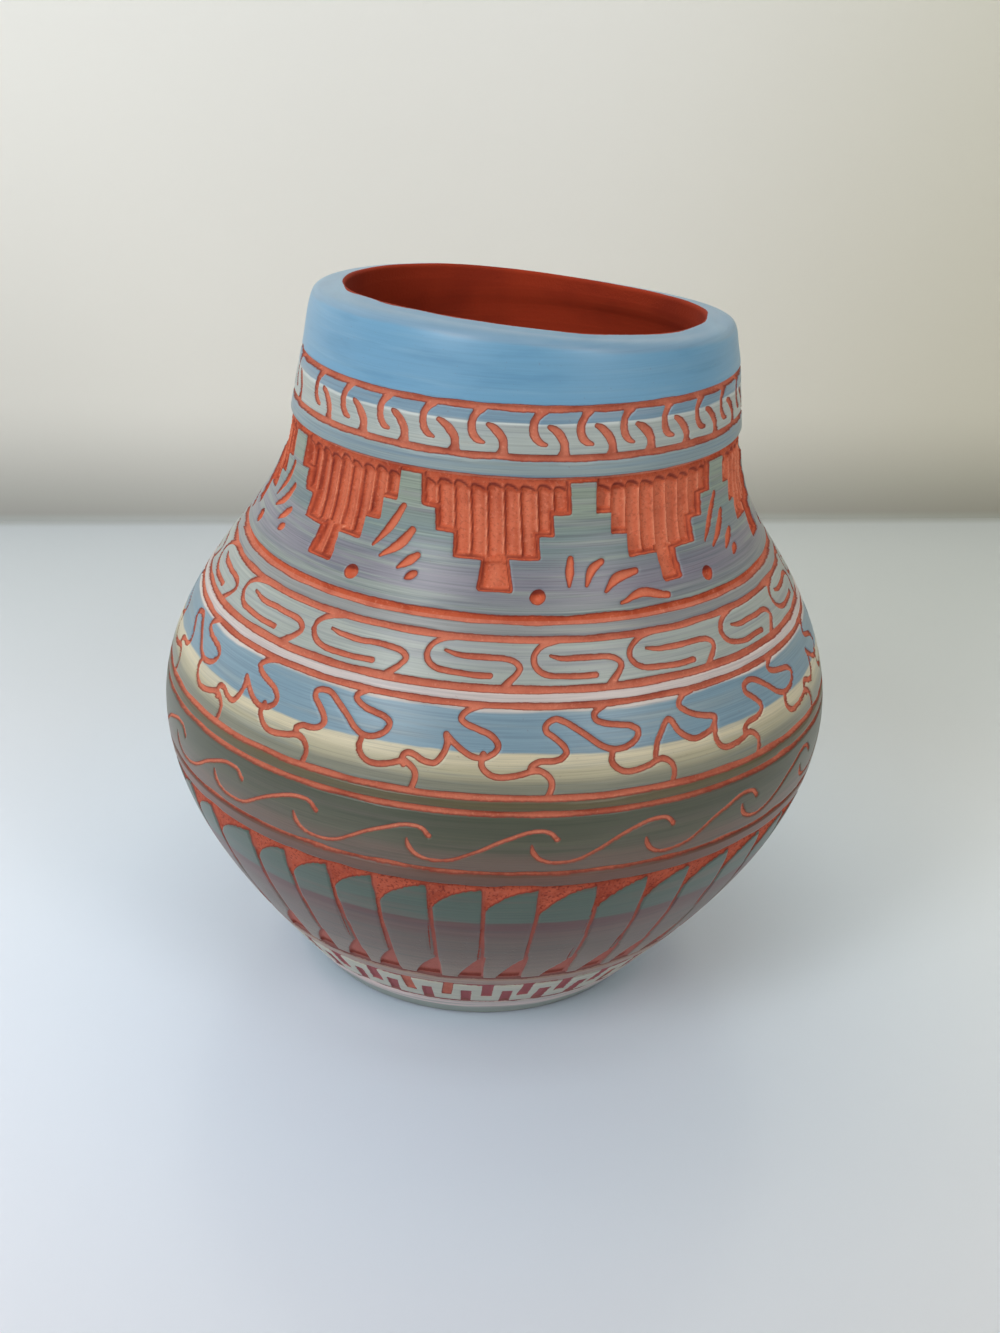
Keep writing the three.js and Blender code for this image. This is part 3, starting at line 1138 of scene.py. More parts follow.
@dataclass
class WaveRing(Ring):
    """Long overlapping strokes like running waves."""

    front: tuple[float, ...] = (-154.3, -139.4, -121.2, -102.3, -83.8, -66.1, -47.5)
    total: int = 20
    pitch: float = radians(18)
    half: float = 0.38
    shape: tuple[Point, ...] = (
        (0.0, 0.5), (0.02, 0.37), (0.07, 0.25), (0.16, 0.17), (0.28, 0.16), (0.42, 0.22),
        (0.56, 0.36), (0.7, 0.52), (0.84, 0.65), (0.98, 0.75), (1.1, 0.77), (1.18, 0.73),
        (1.23, 0.62),
    )
    widths: tuple[float, ...] = (
        0.5, 1.2, 1.1, 0.9, 0.85, 0.85, 0.85, 0.9, 0.95, 1.0, 1.0, 1.05, 1.15,
    )
    punch: float = 0.5

    def etch(self, skin: Skin) -> None:
        """Cut the waves, each ending in a small round punch."""
        for place in round_the_pot(self.front, self.total):
            lift = skin.draw.uniform(-0.04, 0.04)
            moved = [(across, up + lift) for across, up in self.shape]
            widths = [self.half * width for width in self.widths]
            path = self._path(place, self.pitch, moved, widths)
            skin.stroke(path, 0.5)
            angle, rise, _ = path[-1]
            skin.stroke([path[-1], (angle + 0.0005, rise - 0.02, self.punch)], STROKE_DEPTH)


@dataclass(frozen=True)
class Tab:
    """The lowest step of a terrace: width in flutes, troughs, and how it spreads and leans."""

    wide: float
    troughs: int
    flare: float
    slant: float
    ledge: bool


@dataclass(frozen=True)
class Gouge:
    """A short cut that is round at its start and thin at its end.

    Angles are in degrees from the middle of the gap between two terraces.
    """

    start: Point
    middle: Point
    end: Point
    half: float


@dataclass
class TerraceRing(Ring):
    """Stepped terraces of upright flutes, with gouges and a punched dot in each gap."""

    count: int = 9
    phase: float = radians(-94)
    flutes: int = 9
    flute: float = radians(3.8)
    steps: int = 3
    first_drop: float = 4.7
    step_drop: float = 3.45
    tab_drop: float = 4.3
    overrun: float = 0.25
    face: float = 0.6
    fluting: float = 0.85
    ripple: float = 0.035
    ripple_pitch: float = 0.9
    crease: float = 0.3
    crease_inset: float = 0.42
    corner: float = 0.35
    slants: tuple[float, ...] = (0.1, 0.02, -0.05, 0.06, -0.02, 0.04, -0.06, 0.03, 0.0)
    tabs: tuple[Tab, ...] = (
        Tab(1.6, 1, 0.28, 0.0, True),
        Tab(1.45, 1, 0.0, 0.08, False),
        Tab(1.65, 2, 0.25, 0.0, False),
    )
    dot_radius: float = 1.25
    dot_height: float = 86.9
    lean: float = -0.5
    slanting: tuple[Gouge, ...] = (
        Gouge((-1.1, 97.8), (-3.7, 94.4), (-6.9, 91.3), 0.72),
        Gouge((1.7, 94.5), (-0.6, 92.2), (-4.5, 90.1), 0.82),
        Gouge((3.9, 91.1), (2.2, 90.1), (0.2, 89.0), 0.78),
        Gouge((4.2, 88.6), (3.3, 88.2), (2.3, 87.7), 0.7),
    )
    fanned: tuple[Gouge, ...] = (
        Gouge((-3.0, 92.0), (-3.2, 90.1), (-3.4, 88.2), 0.7),
        Gouge((3.9, 91.3), (1.6, 90.3), (0.2, 88.2), 0.75),
        Gouge((11.6, 89.5), (7.2, 89.0), (4.2, 87.2), 0.82),
        Gouge((18.2, 85.6), (12.4, 86.4), (7.1, 85.6), 0.8),
    )

    def _lows(self) -> list[float]:
        """Return the lower edge of each full step and of the tab, along the outline."""
        drops = [self.first_drop + number * self.step_drop for number in range(self.steps)]
        drops.append(drops[-1] + self.tab_drop)
        return [self.wall.run_to(self.high - drop) for drop in drops]

    def _terrace(self, skin: Skin, centre: float, slant: float, tab: Tab) -> None:
        """Cut one terrace down to fluted clay.

        Args:
            skin: The ring's face.
            centre: Angle of the terrace's middle.
            slant: How far it leans from upright.
            tab: Its lowest step.
        """
        near = skin.near(centre, (self.flutes / 2 + 1) * self.flute)
        radius, run = skin.radius[near], skin.run[near]
        *lows, tab_low = self._lows()
        top = self.wall.run_to(self.high) + self.overrun
        across = wrapped(skin.angle[near] - centre) * radius + slant * (run - (top + lows[-1]) / 2)
        flute = self.flute * radius
        inside = np.full(len(near), OUTSIDE)
        floor = np.full(len(near), lows[0])
        for skip, low in enumerate(lows):
            tip = skin.draw.uniform(-0.2, 0.2) * np.sign(across)
            low = low + tip + skin.draw.uniform(-0.1, 0.1)
            shifted = across + skin.draw.uniform(-0.15, 0.15)
            sides = (self.flutes / 2 - skip) * flute - np.abs(shifted)
            step = np.minimum(rounded(sides, run - low, self.corner), top - run + 1.0)
            inside = np.maximum(inside, step)
            floor = np.where(sides > 0, low, floor)
        below = lows[-1] - run
        aside = across - tab.slant * np.clip(below, -1, 9)
        half = tab.wide / 2 * flute * (1 + tab.flare * np.clip(below / (lows[-1] - tab_low), 0, 1))
        in_tab = (below > 0.2) | ((np.abs(aside) < half) & (not tab.ledge) & (below > -1.0))
        step = rounded(half - np.abs(aside), run - tab_low, 2 * self.corner)
        inside = np.maximum(inside, np.where(run < lows[0], step, OUTSIDE))
        reaches = (np.abs(aside) < half) & (in_tab | (not tab.ledge))
        floor = np.where(reaches, tab_low, floor)
        number = np.clip(np.floor(across / flute + self.flutes / 2), 0, self.flutes - 1)
        side = across - (number + 0.5 - self.flutes / 2) * flute
        trough = np.clip(np.floor((aside / half + 1) / 2 * tab.troughs), 0, tab.troughs - 1)
        side = np.where(in_tab, aside - ((trough + 0.5) / tab.troughs * 2 - 1) * half, side)
        width = np.where(in_tab, half / tab.troughs, flute / 2)
        self._flutes(skin, near, inside, floor, top, number, side, width)

    def _flutes(
        self, skin: Skin, near: np.ndarray, inside: np.ndarray, floor: np.ndarray, top: float,
        number: np.ndarray, side: np.ndarray, width: np.ndarray,
    ) -> None:
        """Hollow out the flutes of one terrace, each under a round head, and paint light and shade
        onto them.

        Args:
            skin: The ring's face.
            near: The points round the terrace.
            inside: How far inside the terrace each of them lies.
            floor: Where the terrace ends below each point, along the outline.
            top: Where it ends above, along the outline.
            number: Which flute each point lies in.
            side: Distance of each point from the middle of its flute.
            width: Half the width of its flute.
        """
        run = skin.run[near]
        arch = np.maximum(0, run - (top - 0.6 - width) + 0.12 * np.cos(number * 2.3))
        share = side / width - self.lean
        share /= np.where(share < 0, 1 + self.lean, 1 - self.lean)
        off = np.hypot(share, arch / width)
        hollow = bowl(1 - off)
        ledge = smooth(run - floor, 0.5, 1.05)
        hollow *= ledge * np.clip((inside - 0.3) / 0.35, 0, 1)
        strength = skin.draw.uniform(0.8, 1.1, self.flutes)[number.astype(int)]
        tremble = 0.5 * skin.draw.normal(0, 1, len(near))
        waves = np.cos(run * FULL_TURN / self.ripple_pitch + number * 2.1 + tremble)
        crease = np.exp(-((inside - self.crease_inset) / 0.15) ** 2)
        depth = self.face * bowl(inside / GROOVE_SLOPE) + self.crease * crease
        depth += self.fluting * hollow * strength
        depth += self.ripple * waves * np.clip(inside - 0.3, 0, 1)
        within = np.clip((inside - 0.55) / 0.2, 0, 1) * ledge
        past = np.clip(2 * arch / width, 0, 1)
        # Painted light and shade: a highlight on each ridge and across each flute, shade in its
        # crevice and round its head.
        ridge_highlight = (1 - np.clip(hollow, 0, 1)) ** 3 * within * (1 - past)
        broad_highlight = np.exp(-((share - 0.3) / 0.36) ** 2) * within * strength * (1 - past)
        crevice_shade = np.exp(-((share + 0.68) / 0.26) ** 2) * within * (1 - past)
        crevice_shade += np.exp(-((off - 0.92) / 0.16) ** 2) * within * past
        # Painted shade along the foot of each step.
        step_shade = np.exp(-((run - floor - 0.72) / 0.13) ** 2)
        step_shade *= np.clip((inside - 0.5) / 0.2, 0, 1)
        shaded = smooth(run, top - 1.1, top - 0.3)
        # Painted highlights, less painted shade in the crease, along the steps and under the top.
        painted_light_and_tone = 0.9 * ridge_highlight + 0.4 * broad_highlight - 1.1 * crevice_shade
        painted_light_and_tone -= 0.8 * crease + 0.6 * step_shade + 0.3 * shaded
        skin.lower(near, inside, depth, stipple=0.3 * (inside > 0.5), painted_light_and_tone=painted_light_and_tone)

    def _gouge(self, skin: Skin, gap: float, gouge: Gouge) -> None:
        """Cut one gouge near the middle of a gap."""
        line = zip((gouge.start, gouge.middle, gouge.end), (0.72, 1.0, 0.35))
        path = [(gap + radians(place), rise, gouge.half * wide) for (place, rise), wide in line]
        # Painted light along the middle of the gouge, which lifts the shade of its deep floor.
        skin.stroke(path, 0.62, painted_light_and_tone=0.45)

    def etch(self, skin: Skin) -> None:
        """Cut the terraces, then the gouges and dots in the gaps between them."""
        turn = FULL_TURN / self.count
        for number in range(self.count):
            centre = self.phase + number * turn
            self._terrace(skin, centre, self.slants[number], self.tabs[number % len(self.tabs)])
            for gouge in self.slanting if number % 2 == 0 else self.fanned:
                self._gouge(skin, centre - turn / 2, gouge)
            dot = centre + radians(skin.draw.uniform(9.4, 11.4))
            near = skin.near(dot, 0.05)
            up = skin.run[near] - self.wall.run_to(self.dot_height)
            across = wrapped(skin.angle[near] - dot) * skin.radius[near]
            inside = self.dot_radius - np.hypot(across, up)
            # Painted light inside the dot and painted shade over its upper part.
            painted_light_and_tone = 0.5 * np.clip(inside - 0.3, 0, 1) - smooth(up / self.dot_radius, 0.0, 0.7)
            skin.lower(near, inside, 1.2 * bowl(inside / self.dot_radius), painted_light_and_tone=painted_light_and_tone)


@dataclass
class FeatherRing(Ring):
    """Upright feathers: thin lines with a stippled corner above and a fin below each."""

    front: tuple[float, ...] = (
        -142.1, -131.4, -123.5, -115.3, -107.5, -98.8, -90.1, -81.4, -72.2, -63.6, -55.7, -47.1,
    )
    total: int = 42
    corner_share: float = 0.97
    corner_drop: float = 7.2
    corner_power: float = 1.8
    fin_share: float = 0.6
    fin_height: float = 9.0
    fin_power: float = 1.25

    def etch(self, skin: Skin) -> None:
        """Cut the lines, corners and fins."""
        pairs = neighbours(self.front, self.total)
        before = pairs[-1][0] - FULL_TURN
        for place, following in pairs:
            foot = place + radians(1.0 + skin.draw.uniform(-0.5, 0.5))
            bend = (place + foot) / 2 + skin.draw.uniform(-0.004, 0.004)
            path = [
                (place, self.high + 0.3, 0.42), (bend, (self.low + self.high) / 2, 0.3),
                (foot, self.low - 0.3, 0.3),
            ]
            skin.stroke(path, 0.62, fade=(0.1, 1.0))
            self._corner(skin, place, (following - place) * self.corner_share)
            self._fin(skin, foot, (place - before) * self.fin_share)
            before = place

    def _corner(self, skin: Skin, place: float, wide: float) -> None:
        """Cut the stippled corner right of a line, under the upper groove."""
        near = skin.near(place + wide / 2, wide / 2 + 0.03)
        across = wrapped(skin.angle[near] - place) * skin.radius[near]
        reach = wide * skin.radius[near]
        drop = self.corner_drop * skin.draw.uniform(0.9, 1.1)
        fall = self.wall.run_to(self.high) - skin.run[near]
        past = past_arc(reach - across, drop - fall, reach, drop, self.corner_power)
        inside = np.minimum.reduce([past, across + 0.2, fall + 1.2, reach - across + 0.4])
        depth = 0.55 * bowl(inside / CUT_SLOPE)
        skin.lower(near, inside, depth, stipple=0.85 * (inside > 0.1))

    def _fin(self, skin: Skin, place: float, wide: float) -> None:
        """Cut the fin left of a line, over the lower groove."""
        near = skin.near(place - wide / 2, wide / 2 + 0.03)
        across = wrapped(place - skin.angle[near]) * skin.radius[near]
        tall = self.fin_height * skin.draw.uniform(0.85, 1.1)
        climb = skin.run[near] - self.wall.run_to(self.low)
        past = past_arc(across, climb, wide * skin.radius[near], tall, self.fin_power)
        inside = np.minimum.reduce([-past, across + 0.2, climb + 0.9])
        dark = smooth(climb, 2.4, 0.6)
        marks = {"dull": 0.7 * (1 - dark), "stipple": 0.35 + 0.3 * dark, "painted_light_and_tone": -0.9 * dark}
        skin.lower(near, inside, 0.5 * bowl(inside / CUT_SLOPE), **marks)


@dataclass
class FretRing(Ring):
    """A pale battlement round the foot, its notches cut from above and below by turns."""

    first: float = radians(-96.7)
    total: int = 37
    half: float = 0.95
    bar: float = 0.33
    bright_every: int = 9

    def etch(self, skin: Skin) -> None:
        """Cut the notches."""
        low, high = self.wall.run_to(self.low), self.wall.run_to(self.high)
        pitch = FULL_TURN / self.total
        for number in range(2 * self.total):
            centre = self.first + number * pitch / 2 + skin.draw.uniform(-0.006, 0.006)
            near = skin.near(centre, pitch / 2)
            run = skin.run[near]
            lean = (run - (low + high) / 2) * skin.draw.uniform(-0.03, 0.12)
            side = self.half * skin.draw.uniform(0.88, 1.12)
            side = side - np.abs(wrapped(skin.angle[near] - centre) * skin.radius[near] - lean)
            if number % 2 == 0:
                ends = np.minimum(run - (low + self.bar * (high - low)), high + 1.0 - run)
            else:
                ends = np.minimum(high - self.bar * (high - low) - run, run - low + 1.0)
            inside = np.minimum(side, ends)
            dull = 0.25 if number % self.bright_every == 0 else 0.9
            skin.lower(near, inside, 0.4 * bowl(inside / CUT_SLOPE), dull)


@dataclass
class ClayBody:
    """The pot itself: recessed foot, floor, inner wall and the core under the rings."""

    wall: Wall
    finish: InnerClayFinish = InnerClayFinish()
    sides: int = 256
    thickness: float = 6.0
    floor: float = 7.0
    foot_width: float = 6.5
    recess: float = 1.2
    under_skin: float = SKIN_BACK + 0.06
    foot_inset: float = 0.9

    def _inner(self) -> list[Point]:
        """Trace the inside from the lip down to the middle of the floor."""
        bend = self.floor + self.thickness
        rise = np.linspace(self.wall.round_start, bend, 60)
        rows = self.wall.points(np.zeros(len(rise)), rise, self.thickness)
        points = [(float(x), float(z)) for x, _, z in rows if z > bend]
        corner = points[-1][0]
        for angle in np.linspace(0, math.pi / 2, 10)[1:]:
            straight = angle / (math.pi / 2)
            across = (1 - math.cos(angle) + straight) / 2
            down = (math.sin(angle) + straight) / 2
            points.append((corner - self.thickness * across, bend - self.thickness * down))
        return [*points, (points[-1][0] * 0.6, self.floor), (points[-1][0] * 0.25, self.floor)]

    def _outline(self) -> list[Point]:
        """Trace the section from the recess round the foot and up to the lip, then down inside."""
        outer = self.wall.section(0.0, self.foot_inset)[0]
        inner = outer - self.foot_width
        foot = [
            (inner - self.recess, self.recess), (inner - 0.5, 0.75), (inner, 0.2),
            (inner + 0.4, 0.0), (outer - 0.5, 0.0), (outer - 0.1, 0.15), (outer + 0.05, 0.4),
        ]
        rise = np.linspace(1.4, self.wall.round_start, 70)
        core = self.wall.points(np.zeros(len(rise)), rise, self.under_skin)
        lip = self.wall.lip_height - self.wall.inner_return
        inset = self.wall.lip_inner_radius + 1.2
        top = [(float(core[-1][0]) - 0.4, lip + 0.6), (inset, lip + 0.6), (inset, lip)]
        top += [(self.wall.lip_inner_radius, lip)]
        return [*foot, *((float(x), float(z)) for x, _, z in core), *top, *self._inner()]

    def build(self) -> None:
        """Draw the section out of a disc, ring after ring, and dress it."""
        outline = self._outline()
        radius, height = outline[0]
        bpy.ops.object.select_all(action="DESELECT")
        start = {"radius": radius * MM, "location": (0, 0, height * MM)}
        bpy.ops.mesh.primitive_circle_add(vertices=self.sides, fill_type="TRIFAN", **start)
        body = bpy.context.object
        body.name = body.data.name = "clay_body_turned"
        bpy.ops.object.transform_apply(location=True)
        bpy.ops.object.mode_set(mode="EDIT")
        bpy.ops.mesh.select_all(action="SELECT")
        for wide, tall in outline[1:]:
            step = {"value": (0, 0, (tall - height) * MM)}
            bpy.ops.mesh.extrude_region_move(TRANSFORM_OT_translate=step)
            ratio = wide / radius
            bpy.ops.transform.resize(value=(ratio, ratio, 1), center_override=(0, 0, tall * MM))
            radius, height = wide, tall
        bpy.ops.mesh.select_all(action="SELECT")
        bpy.ops.mesh.normals_make_consistent(inside=False)
        leave_edit(crease=40)
        set_mesh_points(body, self.wall.settle(mesh_points(body)))
        dress(body, self.finish.material("bare_clay_inside"), "clay_body")


@dataclass(frozen=True)
class Viewpoint:
    """Where the photograph was taken from."""

    place: Place = (-1.695, -269.47, 179.45)
    pitch: float = radians(24.834)
    roll: float = radians(2.65)
    yaw: float = radians(0.546)
    lens: float = 43.21

    def build(self) -> None:
        """Add the camera."""
        level = Vector((math.cos(self.yaw), -math.sin(self.yaw), 0))
        forward = Vector((math.sin(self.yaw), math.cos(self.yaw), 0))
        ahead = forward * math.cos(self.pitch) - Vector((0, 0, math.sin(self.pitch)))
        upright = level.cross(ahead)
        right = level * math.cos(self.roll) + upright * math.sin(self.roll)
        above = upright * math.cos(self.roll) - level * math.sin(self.roll)
        data = bpy.data.cameras.new("viewpoint")
        data.lens = self.lens
        data.sensor_width = 36.0
        data.clip_start = 0.01
        camera = bpy.data.objects.new("viewpoint", data)
        bpy.context.scene.collection.objects.link(camera)
        turn = Matrix((right, above, -ahead)).transposed().to_4x4()
        camera.matrix_world = Matrix.Translation(Vector(self.place) * MM) @ turn
        bpy.context.scene.camera = camera


@dataclass(frozen=True)
class Lamp:
    """A soft square lamp."""

    name: str
    place: Place
    size: float
    power: float
    colour: tuple[float, float, float]

    def build(self) -> None:
        """Hang the lamp, facing the middle of the vase."""
        data = bpy.data.lights.new(self.name, "AREA")
        data.size = self.size
        data.energy = self.power
        data.color = self.colour
        lamp = bpy.data.objects.new(self.name, data)
        lamp.location = self.place
        aim = Vector((0, 0, 0.06)) - Vector(self.place)
        lamp.rotation_euler = aim.to_track_quat("-Z", "Y").to_euler()
        bpy.context.scene.collection.objects.link(lamp)


@dataclass(frozen=True)
class Studio:
    """A pale table against a cream wall, under soft light."""

    table: Colour = pigment(233, 237, 247)
    table_far_shade: Colour = pigment(202, 209, 213)
    table_seam: Colour = pigment(180, 183, 181)
    wall_seam: Colour = pigment(176, 179, 176)
    table_right_shade: Colour = (1.0, 0.99, 0.93, 1.0)
    table_shade_tint: Colour = (0.93, 1.02, 1.08, 1.0)
    contact_shadow: Colour = (0.86, 0.87, 0.88, 1.0)
    wall: Colour = pigment(218, 217, 211)
    mid_shade: Colour = pigment(213, 210, 202)
    gap_shade: Colour = pigment(158, 157, 151)
    right_shade: Colour = (0.8, 0.79, 0.71, 1.0)
    left_shade: Colour = (0.9, 0.9, 0.9, 1.0)
    wall_place: Point = (0.2346, 0.1367)
    reach: float = 2.5
    daylight: float = 0.64
    sky: Colour = (0.96, 0.98, 1.0, 1.0)
    backdrop: Colour = (1.05, 1.07, 1.06, 1.0)
    left_side: Colour = (0.12, 0.13, 0.14, 1.0)
    right_side: Colour = (0.02, 0.02, 0.02, 1.0)
    card_place: float = -0.34
    card_half_width: float = 0.18
    card_height: float = 0.8
    card_colour: Colour = pigment(24, 24, 28)
    lamps: tuple[Lamp, ...] = (
        Lamp("left_window", (-0.46, -0.78, 0.66), 0.6, 10.6, (0.97, 0.99, 1.0)),
        Lamp("right_window", (0.46, -0.78, 0.6), 0.6, 6.0, (1.0, 0.97, 0.93)),
        Lamp("ceiling", (0.0, -0.53, 1.25), 0.7, 3.2, (1.0, 0.99, 0.97)),
    )

    def _plane(self, name: str, corners: Sequence[Place]) -> bpy.types.Object:
        """Add a plane of the set with its four corners at given places."""
        bpy.ops.object.select_all(action="DESELECT")
        bpy.ops.mesh.primitive_plane_add(size=1.0)
        plane = bpy.context.object
        plane.name = name
        for vertex, corner in zip(plane.data.vertices, corners):
            vertex.co = corner
        return plane

    def _table(self) -> None:
        """Lay the table, which keeps the vase's shadow and a faint reflection; its colour adds
        painted shade towards the wall, round the vase and to the right, and a painted contact
        shadow at the foot.
        """
        wide = self.reach
        table = self._plane("table", [(x, y, 0) for y in (-wide, wide) for x in (-wide, wide)])
        graph = Graph("table_top")
        across, ahead = graph.axis("X"), graph.axis("Y")
        length = {"operation": "LENGTH"}
        away = graph.add("ShaderNodeVectorMath", length, {0: graph.place()}, output="Value")
        middle, slope = self.wall_place
        from_wall = across * slope - ahead + middle
        # Painted shade: the table darkens towards the wall.
        colour = graph.mix(self.table_far_shade, self.table, ahead.eased(0.21, -0.12))
        colour = graph.mix(self.table_seam, colour, from_wall.eased(0.0, 0.007))
        # Painted shade: warmer to the right and bluer round the vase, with a painted contact shadow
        # at the foot.
        colour = graph.layers(colour, (
            (self.table_right_shade, across.eased(-0.02, 0.12)),
            (self.table_shade_tint, away.eased(0.15, 0.03)),
            (self.contact_shadow, away.eased(0.044, 0.033)),
        ), "MULTIPLY")
        gloss = {"Roughness": 0.22, "Specular IOR Level": 0.5}
        table.data.materials.append(graph.finish(gloss, {"Base Color": colour}, one_sided=True))

    def _wall(self) -> None:
        """Stand the wall behind the table, a little turned and shaded along the table's edge."""
        middle, slope = self.wall_place
        wide = self.reach
        corners = [(x, middle + slope * x, z) for z in (-0.02, wide) for x in (-wide, wide)]
        wall = self._plane("wall", corners)
        graph = Graph("back_wall")
        across, up = graph.axis("X"), graph.axis("Z")
        low = graph.mix(self.gap_shade, self.mid_shade, up.eased(-0.008, 0.042))
        low = graph.mix(self.wall_seam, low, up.eased(0.0, 0.003))
        colour = graph.mix(low, self.wall, up.eased(0.03, 0.2))
        colour = graph.layers(colour, (
            (self.right_shade, across.eased(0.0, 0.2)),
            (self.left_shade, across.eased(-0.09, -0.17) * up.eased(0.15, 0.03)),
        ), "MULTIPLY")
        matte = {"Roughness": 1.0, "Specular IOR Level": 0.0}
        wall.data.materials.append(graph.finish(matte, {"Base Color": colour}, one_sided=True))

    def _card(self) -> None:
        """Stand a dark card where the photographer was, which dims the front of the vase."""
        side, place = self.card_half_width, self.card_place
        corners = [(x, place, z) for z in (0.02, self.card_height) for x in (-side, side)]
        card = self._plane("photographer", corners)
        cloth = Graph("card").finish({"Roughness": 0.9}, {"Base Color": self.card_colour})
        card.data.materials.append(cloth)
        card.visible_camera = False

    def _daylight(self) -> None:
        """Light the set from all round, less from the two sides of the room."""
        world = bpy.data.worlds.new("daylight")
        graph = Graph(world)
        aim = graph.add("ShaderNodeTexCoord", output="Generated")
        across, low = graph.axis("X", aim), graph.axis("Z", aim).eased(0.95, 0.6)
        colour = graph.layers(self.sky, (
            (self.left_side, across.eased(-0.3, -0.6) * low),
            (self.right_side, across.eased(0.25, 0.55) * low),
            (self.backdrop, graph.add("ShaderNodeLightPath", output="Is Camera Ray")),
        ))
        values = {"Color": colour, "Strength": self.daylight}
        shader = graph.add("ShaderNodeBackground", values=values)
        graph.add("ShaderNodeOutputWorld", values={"Surface": shader})
        bpy.context.scene.world = world

    def build(self) -> None:
        """Build the set and light it."""
        self._table()
        self._wall()
        self._card()
        self._daylight()
        for lamp in self.lamps:
            lamp.build()
        bpy.context.scene.view_settings.view_transform = "Standard"


def coated(
    tones: Sequence[tuple], streaks: Sequence[tuple], roughness: float = 0.42, **others: object,
) -> CoatFinish:
    """Describe a coat with its colours as they are seen.

    Args:
        tones: Where each tone starts, its colour and, if it isn't usual, how softly it starts.
        streaks: Colour and amount of each kind of streak and, if they aren't usual, its sizes.
        roughness: How dull the coat is.
        others: Further fields of the finish.

    Returns:
        The finish.
    """
    laid = tuple(Tone(above, pigment(*colour), *blend) for above, colour, *blend in tones)
    brushed = tuple(Streak(pigment(*colour), *sizes) for colour, *sizes in streaks)
    return CoatFinish(laid, brushed, roughness, **others)


def fired(floor: Shade, pale: Shade, deep: Shade) -> ClayFinish:
    """Describe bare clay with its colours as they are seen."""
    return ClayFinish(pigment(*floor), pigment(*pale), pigment(*deep))


class Paint(Enum):
    """The finishes of the coloured rings."""

    GREY_OLIVE = coated(
        [(0, (154, 160, 147)), (3.2, (231, 207, 199), 0.3)],
        [((124, 133, 124), 0.5)],
        dull=pigment(140, 92, 92),
    )
    PALE_SAGE = coated(
        [(0, (192, 190, 172))],
        [((164, 156, 143), 0.5)],
        0.46,
        dull=pigment(162, 92, 98),
    )
    PALE_ROSE = coated(
        [(0, (160, 132, 116))],
        [((132, 101, 90), 0.6)],
        0.46,
        dull=pigment(120, 84, 84),
    )
    TEAL = coated(
        [(0, (137, 118, 101)), (22, (100, 82, 70), 6.0), (32, (92, 53, 49), 3.0),
         (35.5, (74, 91, 79), 0.3)],
        [((65, 76, 68), 0.35), ((119, 89, 78), 0.3, 40.0, 1.4)],
        # The feather ring's cut clay is darker than elsewhere, in part as painted shade of the
        # lower belly.
        clay=fired((188, 92, 68), (202, 124, 102), (150, 58, 40)),
        dull=pigment(176, 112, 104),
    )
    MAUVE = coated([(0, (105, 73, 59))], [((86, 68, 54), 0.5)])
    DARK_OLIVE = coated(
        [(0, (107, 89, 77)), (50.6, (86, 86, 69), 1.3), (53.6, (77, 80, 64), 0.8)],
        [((66, 72, 57), 0.5), ((101, 90, 82), 0.35, 44.0, 1.6)],
    )
    OLIVE = coated([(0, (96, 87, 61))], [((77, 74, 51), 0.5)])
    CREAM_BLUE = coated(
        [(0, (126, 126, 110)), (62.6, (176, 169, 141), 1.0), (64.6, (205, 195, 166), 0.8),
         (66.4, (122, 149, 164), 0.22), (72.2, (204, 195, 188), 0.25)],
        [((107, 137, 157), 0.18), ((172, 168, 148), 0.2, 36.0, 1.2)],
        0.4,
    )
    WHITE = coated([(0, (201, 189, 184))], [((173, 165, 166), 0.6)])
    BLUE_GREY = coated(
        [(0, (159, 166, 160))],
        [((176, 180, 169), 0.5), ((142, 145, 151), 0.6, 40.0, 1.0)],
        0.4,
    )
    SHOULDER_GREY = coated(
        [(0, (139, 141, 140))],
        [((151, 153, 145), 0.5), ((121, 121, 130), 0.6, 40.0, 0.8)],
        0.4,
    )
    LAVENDER = coated(
        [(0, (128, 133, 135)), (86.0, (127, 125, 135), 1.4), (91.5, (118, 135, 135), 2.6),
         (97, (137, 149, 135), 3.0)],
        [((138, 127, 142), 0.55, 46.0, 1.3), ((149, 164, 148), 0.5, 30.0, 0.8),
         ((90, 102, 112), 0.55, 20.0, 0.45)],
        0.4,
        clay=fired((206, 101, 68), (231, 148, 116), (166, 60, 34)),
        bristle=0.7,
    )
    NECK_BLUE = coated(
        [(0, (133, 151, 157))],
        [((105, 135, 159), 0.6), ((149, 158, 151), 0.5, 40.0, 1.0)],
        0.4,
    )
    SCROLL_BLUE = coated(
        [(0, (169, 177, 172)), (111.7, (199, 206, 202), 0.25), (112.15, (120, 148, 166), 0.14)],
        [((186, 186, 173), 0.3), ((145, 153, 162), 0.35, 36.0, 0.9)],
        0.4,
    )
    SKY_BLUE = coated(
        # The greyer tone over the lip's top is a painted sheen.
        [(0, (111, 160, 191)), (121.9, (120, 154, 179), 0.35)],
        [((90, 141, 175), 0.45, 16.0, 2.6), ((137, 176, 197), 0.35, 22.0, 1.4)],
        0.4,
        bristle=0.15,
    )


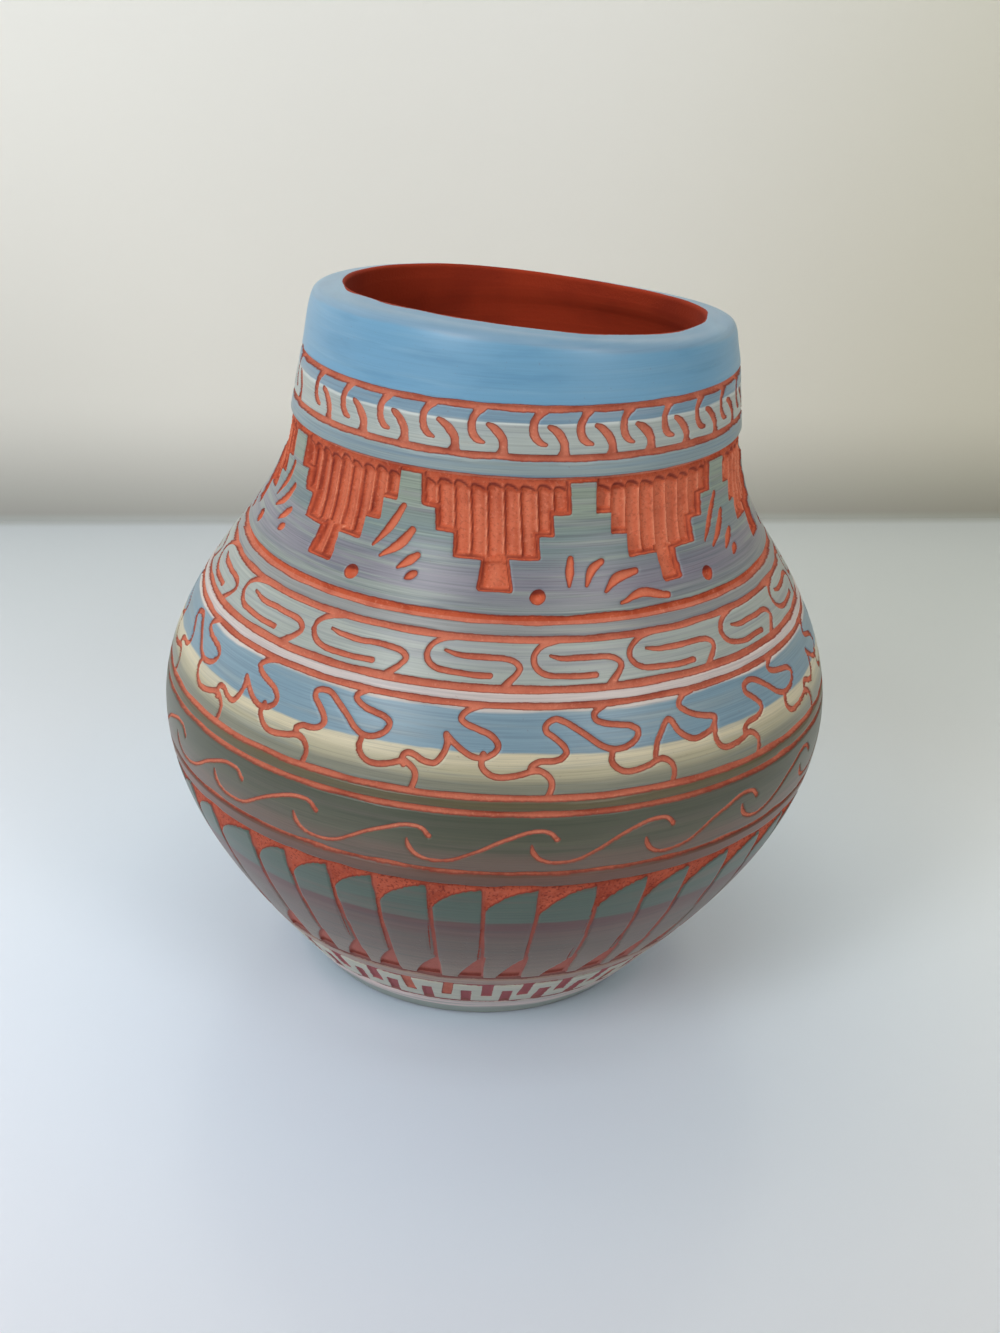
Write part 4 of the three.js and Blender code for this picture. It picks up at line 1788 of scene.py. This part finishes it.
def rings(wall: Wall) -> list[Ring]:
    """Lay out the coloured rings from the foot up, each over the groove that the last one ends in.

    Args:
        wall: The pot's wall.

    Returns:
        The rings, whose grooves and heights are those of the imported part.
    """
    rows = (
        (Ring, "foot", "grey_olive", 5.9, HAIR, Paint.GREY_OLIVE, 0.4),
        (FretRing, "foot_fret", "pale_sage", 13.7, HAIR, Paint.PALE_SAGE, 0.24),
        (Ring, "foot_stripe", "pale_sage", 16.4, STAINED, Paint.PALE_ROSE, 0.28),
        (FeatherRing, "feather", "teal", 43.35, MEDIUM, Paint.TEAL, 0.364),
        (Ring, "mauve_stripe", "mauve", 46.55, THIN, Paint.MAUVE, 0.28),
        (WaveRing, "wave", "dark_olive", 57.1, THIN, Paint.DARK_OLIVE, 0.25),
        (Ring, "olive_stripe", "dark_olive", 59.5, MEDIUM, Paint.OLIVE, 0.28),
        (WindingRing, "winding_line", "cream_blue", 72.5, THIN, Paint.CREAM_BLUE, 0.25),
        (Ring, "white_stripe", "white", 74.55, MEDIUM, Paint.WHITE, 0.25),
        (MeanderRing, "meander", "blue_grey", 80.95, THIN, Paint.BLUE_GREY, 0.22),
        (Ring, "shoulder_stripe", "blue_grey", 83.25, WIDE, Paint.SHOULDER_GREY, 0.28),
        (TerraceRing, "terrace", "lavender_grey", 103.2, THIN, Paint.LAVENDER, 0.267),
        (Ring, "neck_stripe", "blue_grey", 106.5, MEDIUM, Paint.NECK_BLUE, 0.28),
        (ScrollRing, "neck_scroll", "blue_grey", 113.8, MEDIUM, Paint.SCROLL_BLUE, 0.2),
        (RimCoat, "rim", "sky_blue", wall.top, None, Paint.SKY_BLUE, 0.3),
    )
    laid: list[Ring] = []
    low, below = FOOT_EDGE, None
    for seed, (kind, name, slot, high, above, paint, spacing) in enumerate(rows, FIRST_SEED):
        names = (f"{name}_coat", f"{slot}_coat")
        laid.append(kind(*names, low, high, below, above, paint.value, spacing, seed, wall))
        if above:
            low, below = round(high + above.width, 3), above
    return laid


def main() -> None:
    """Build the vase, its set and its camera."""
    logging.basicConfig(level=logging.INFO, format="%(message)s")
    wall = Wall()
    Viewpoint().build()
    Studio().build()
    ClayBody(wall).build()
    for ring in rings(wall):
        ring.build()


if __name__ == "__main__":
    main()
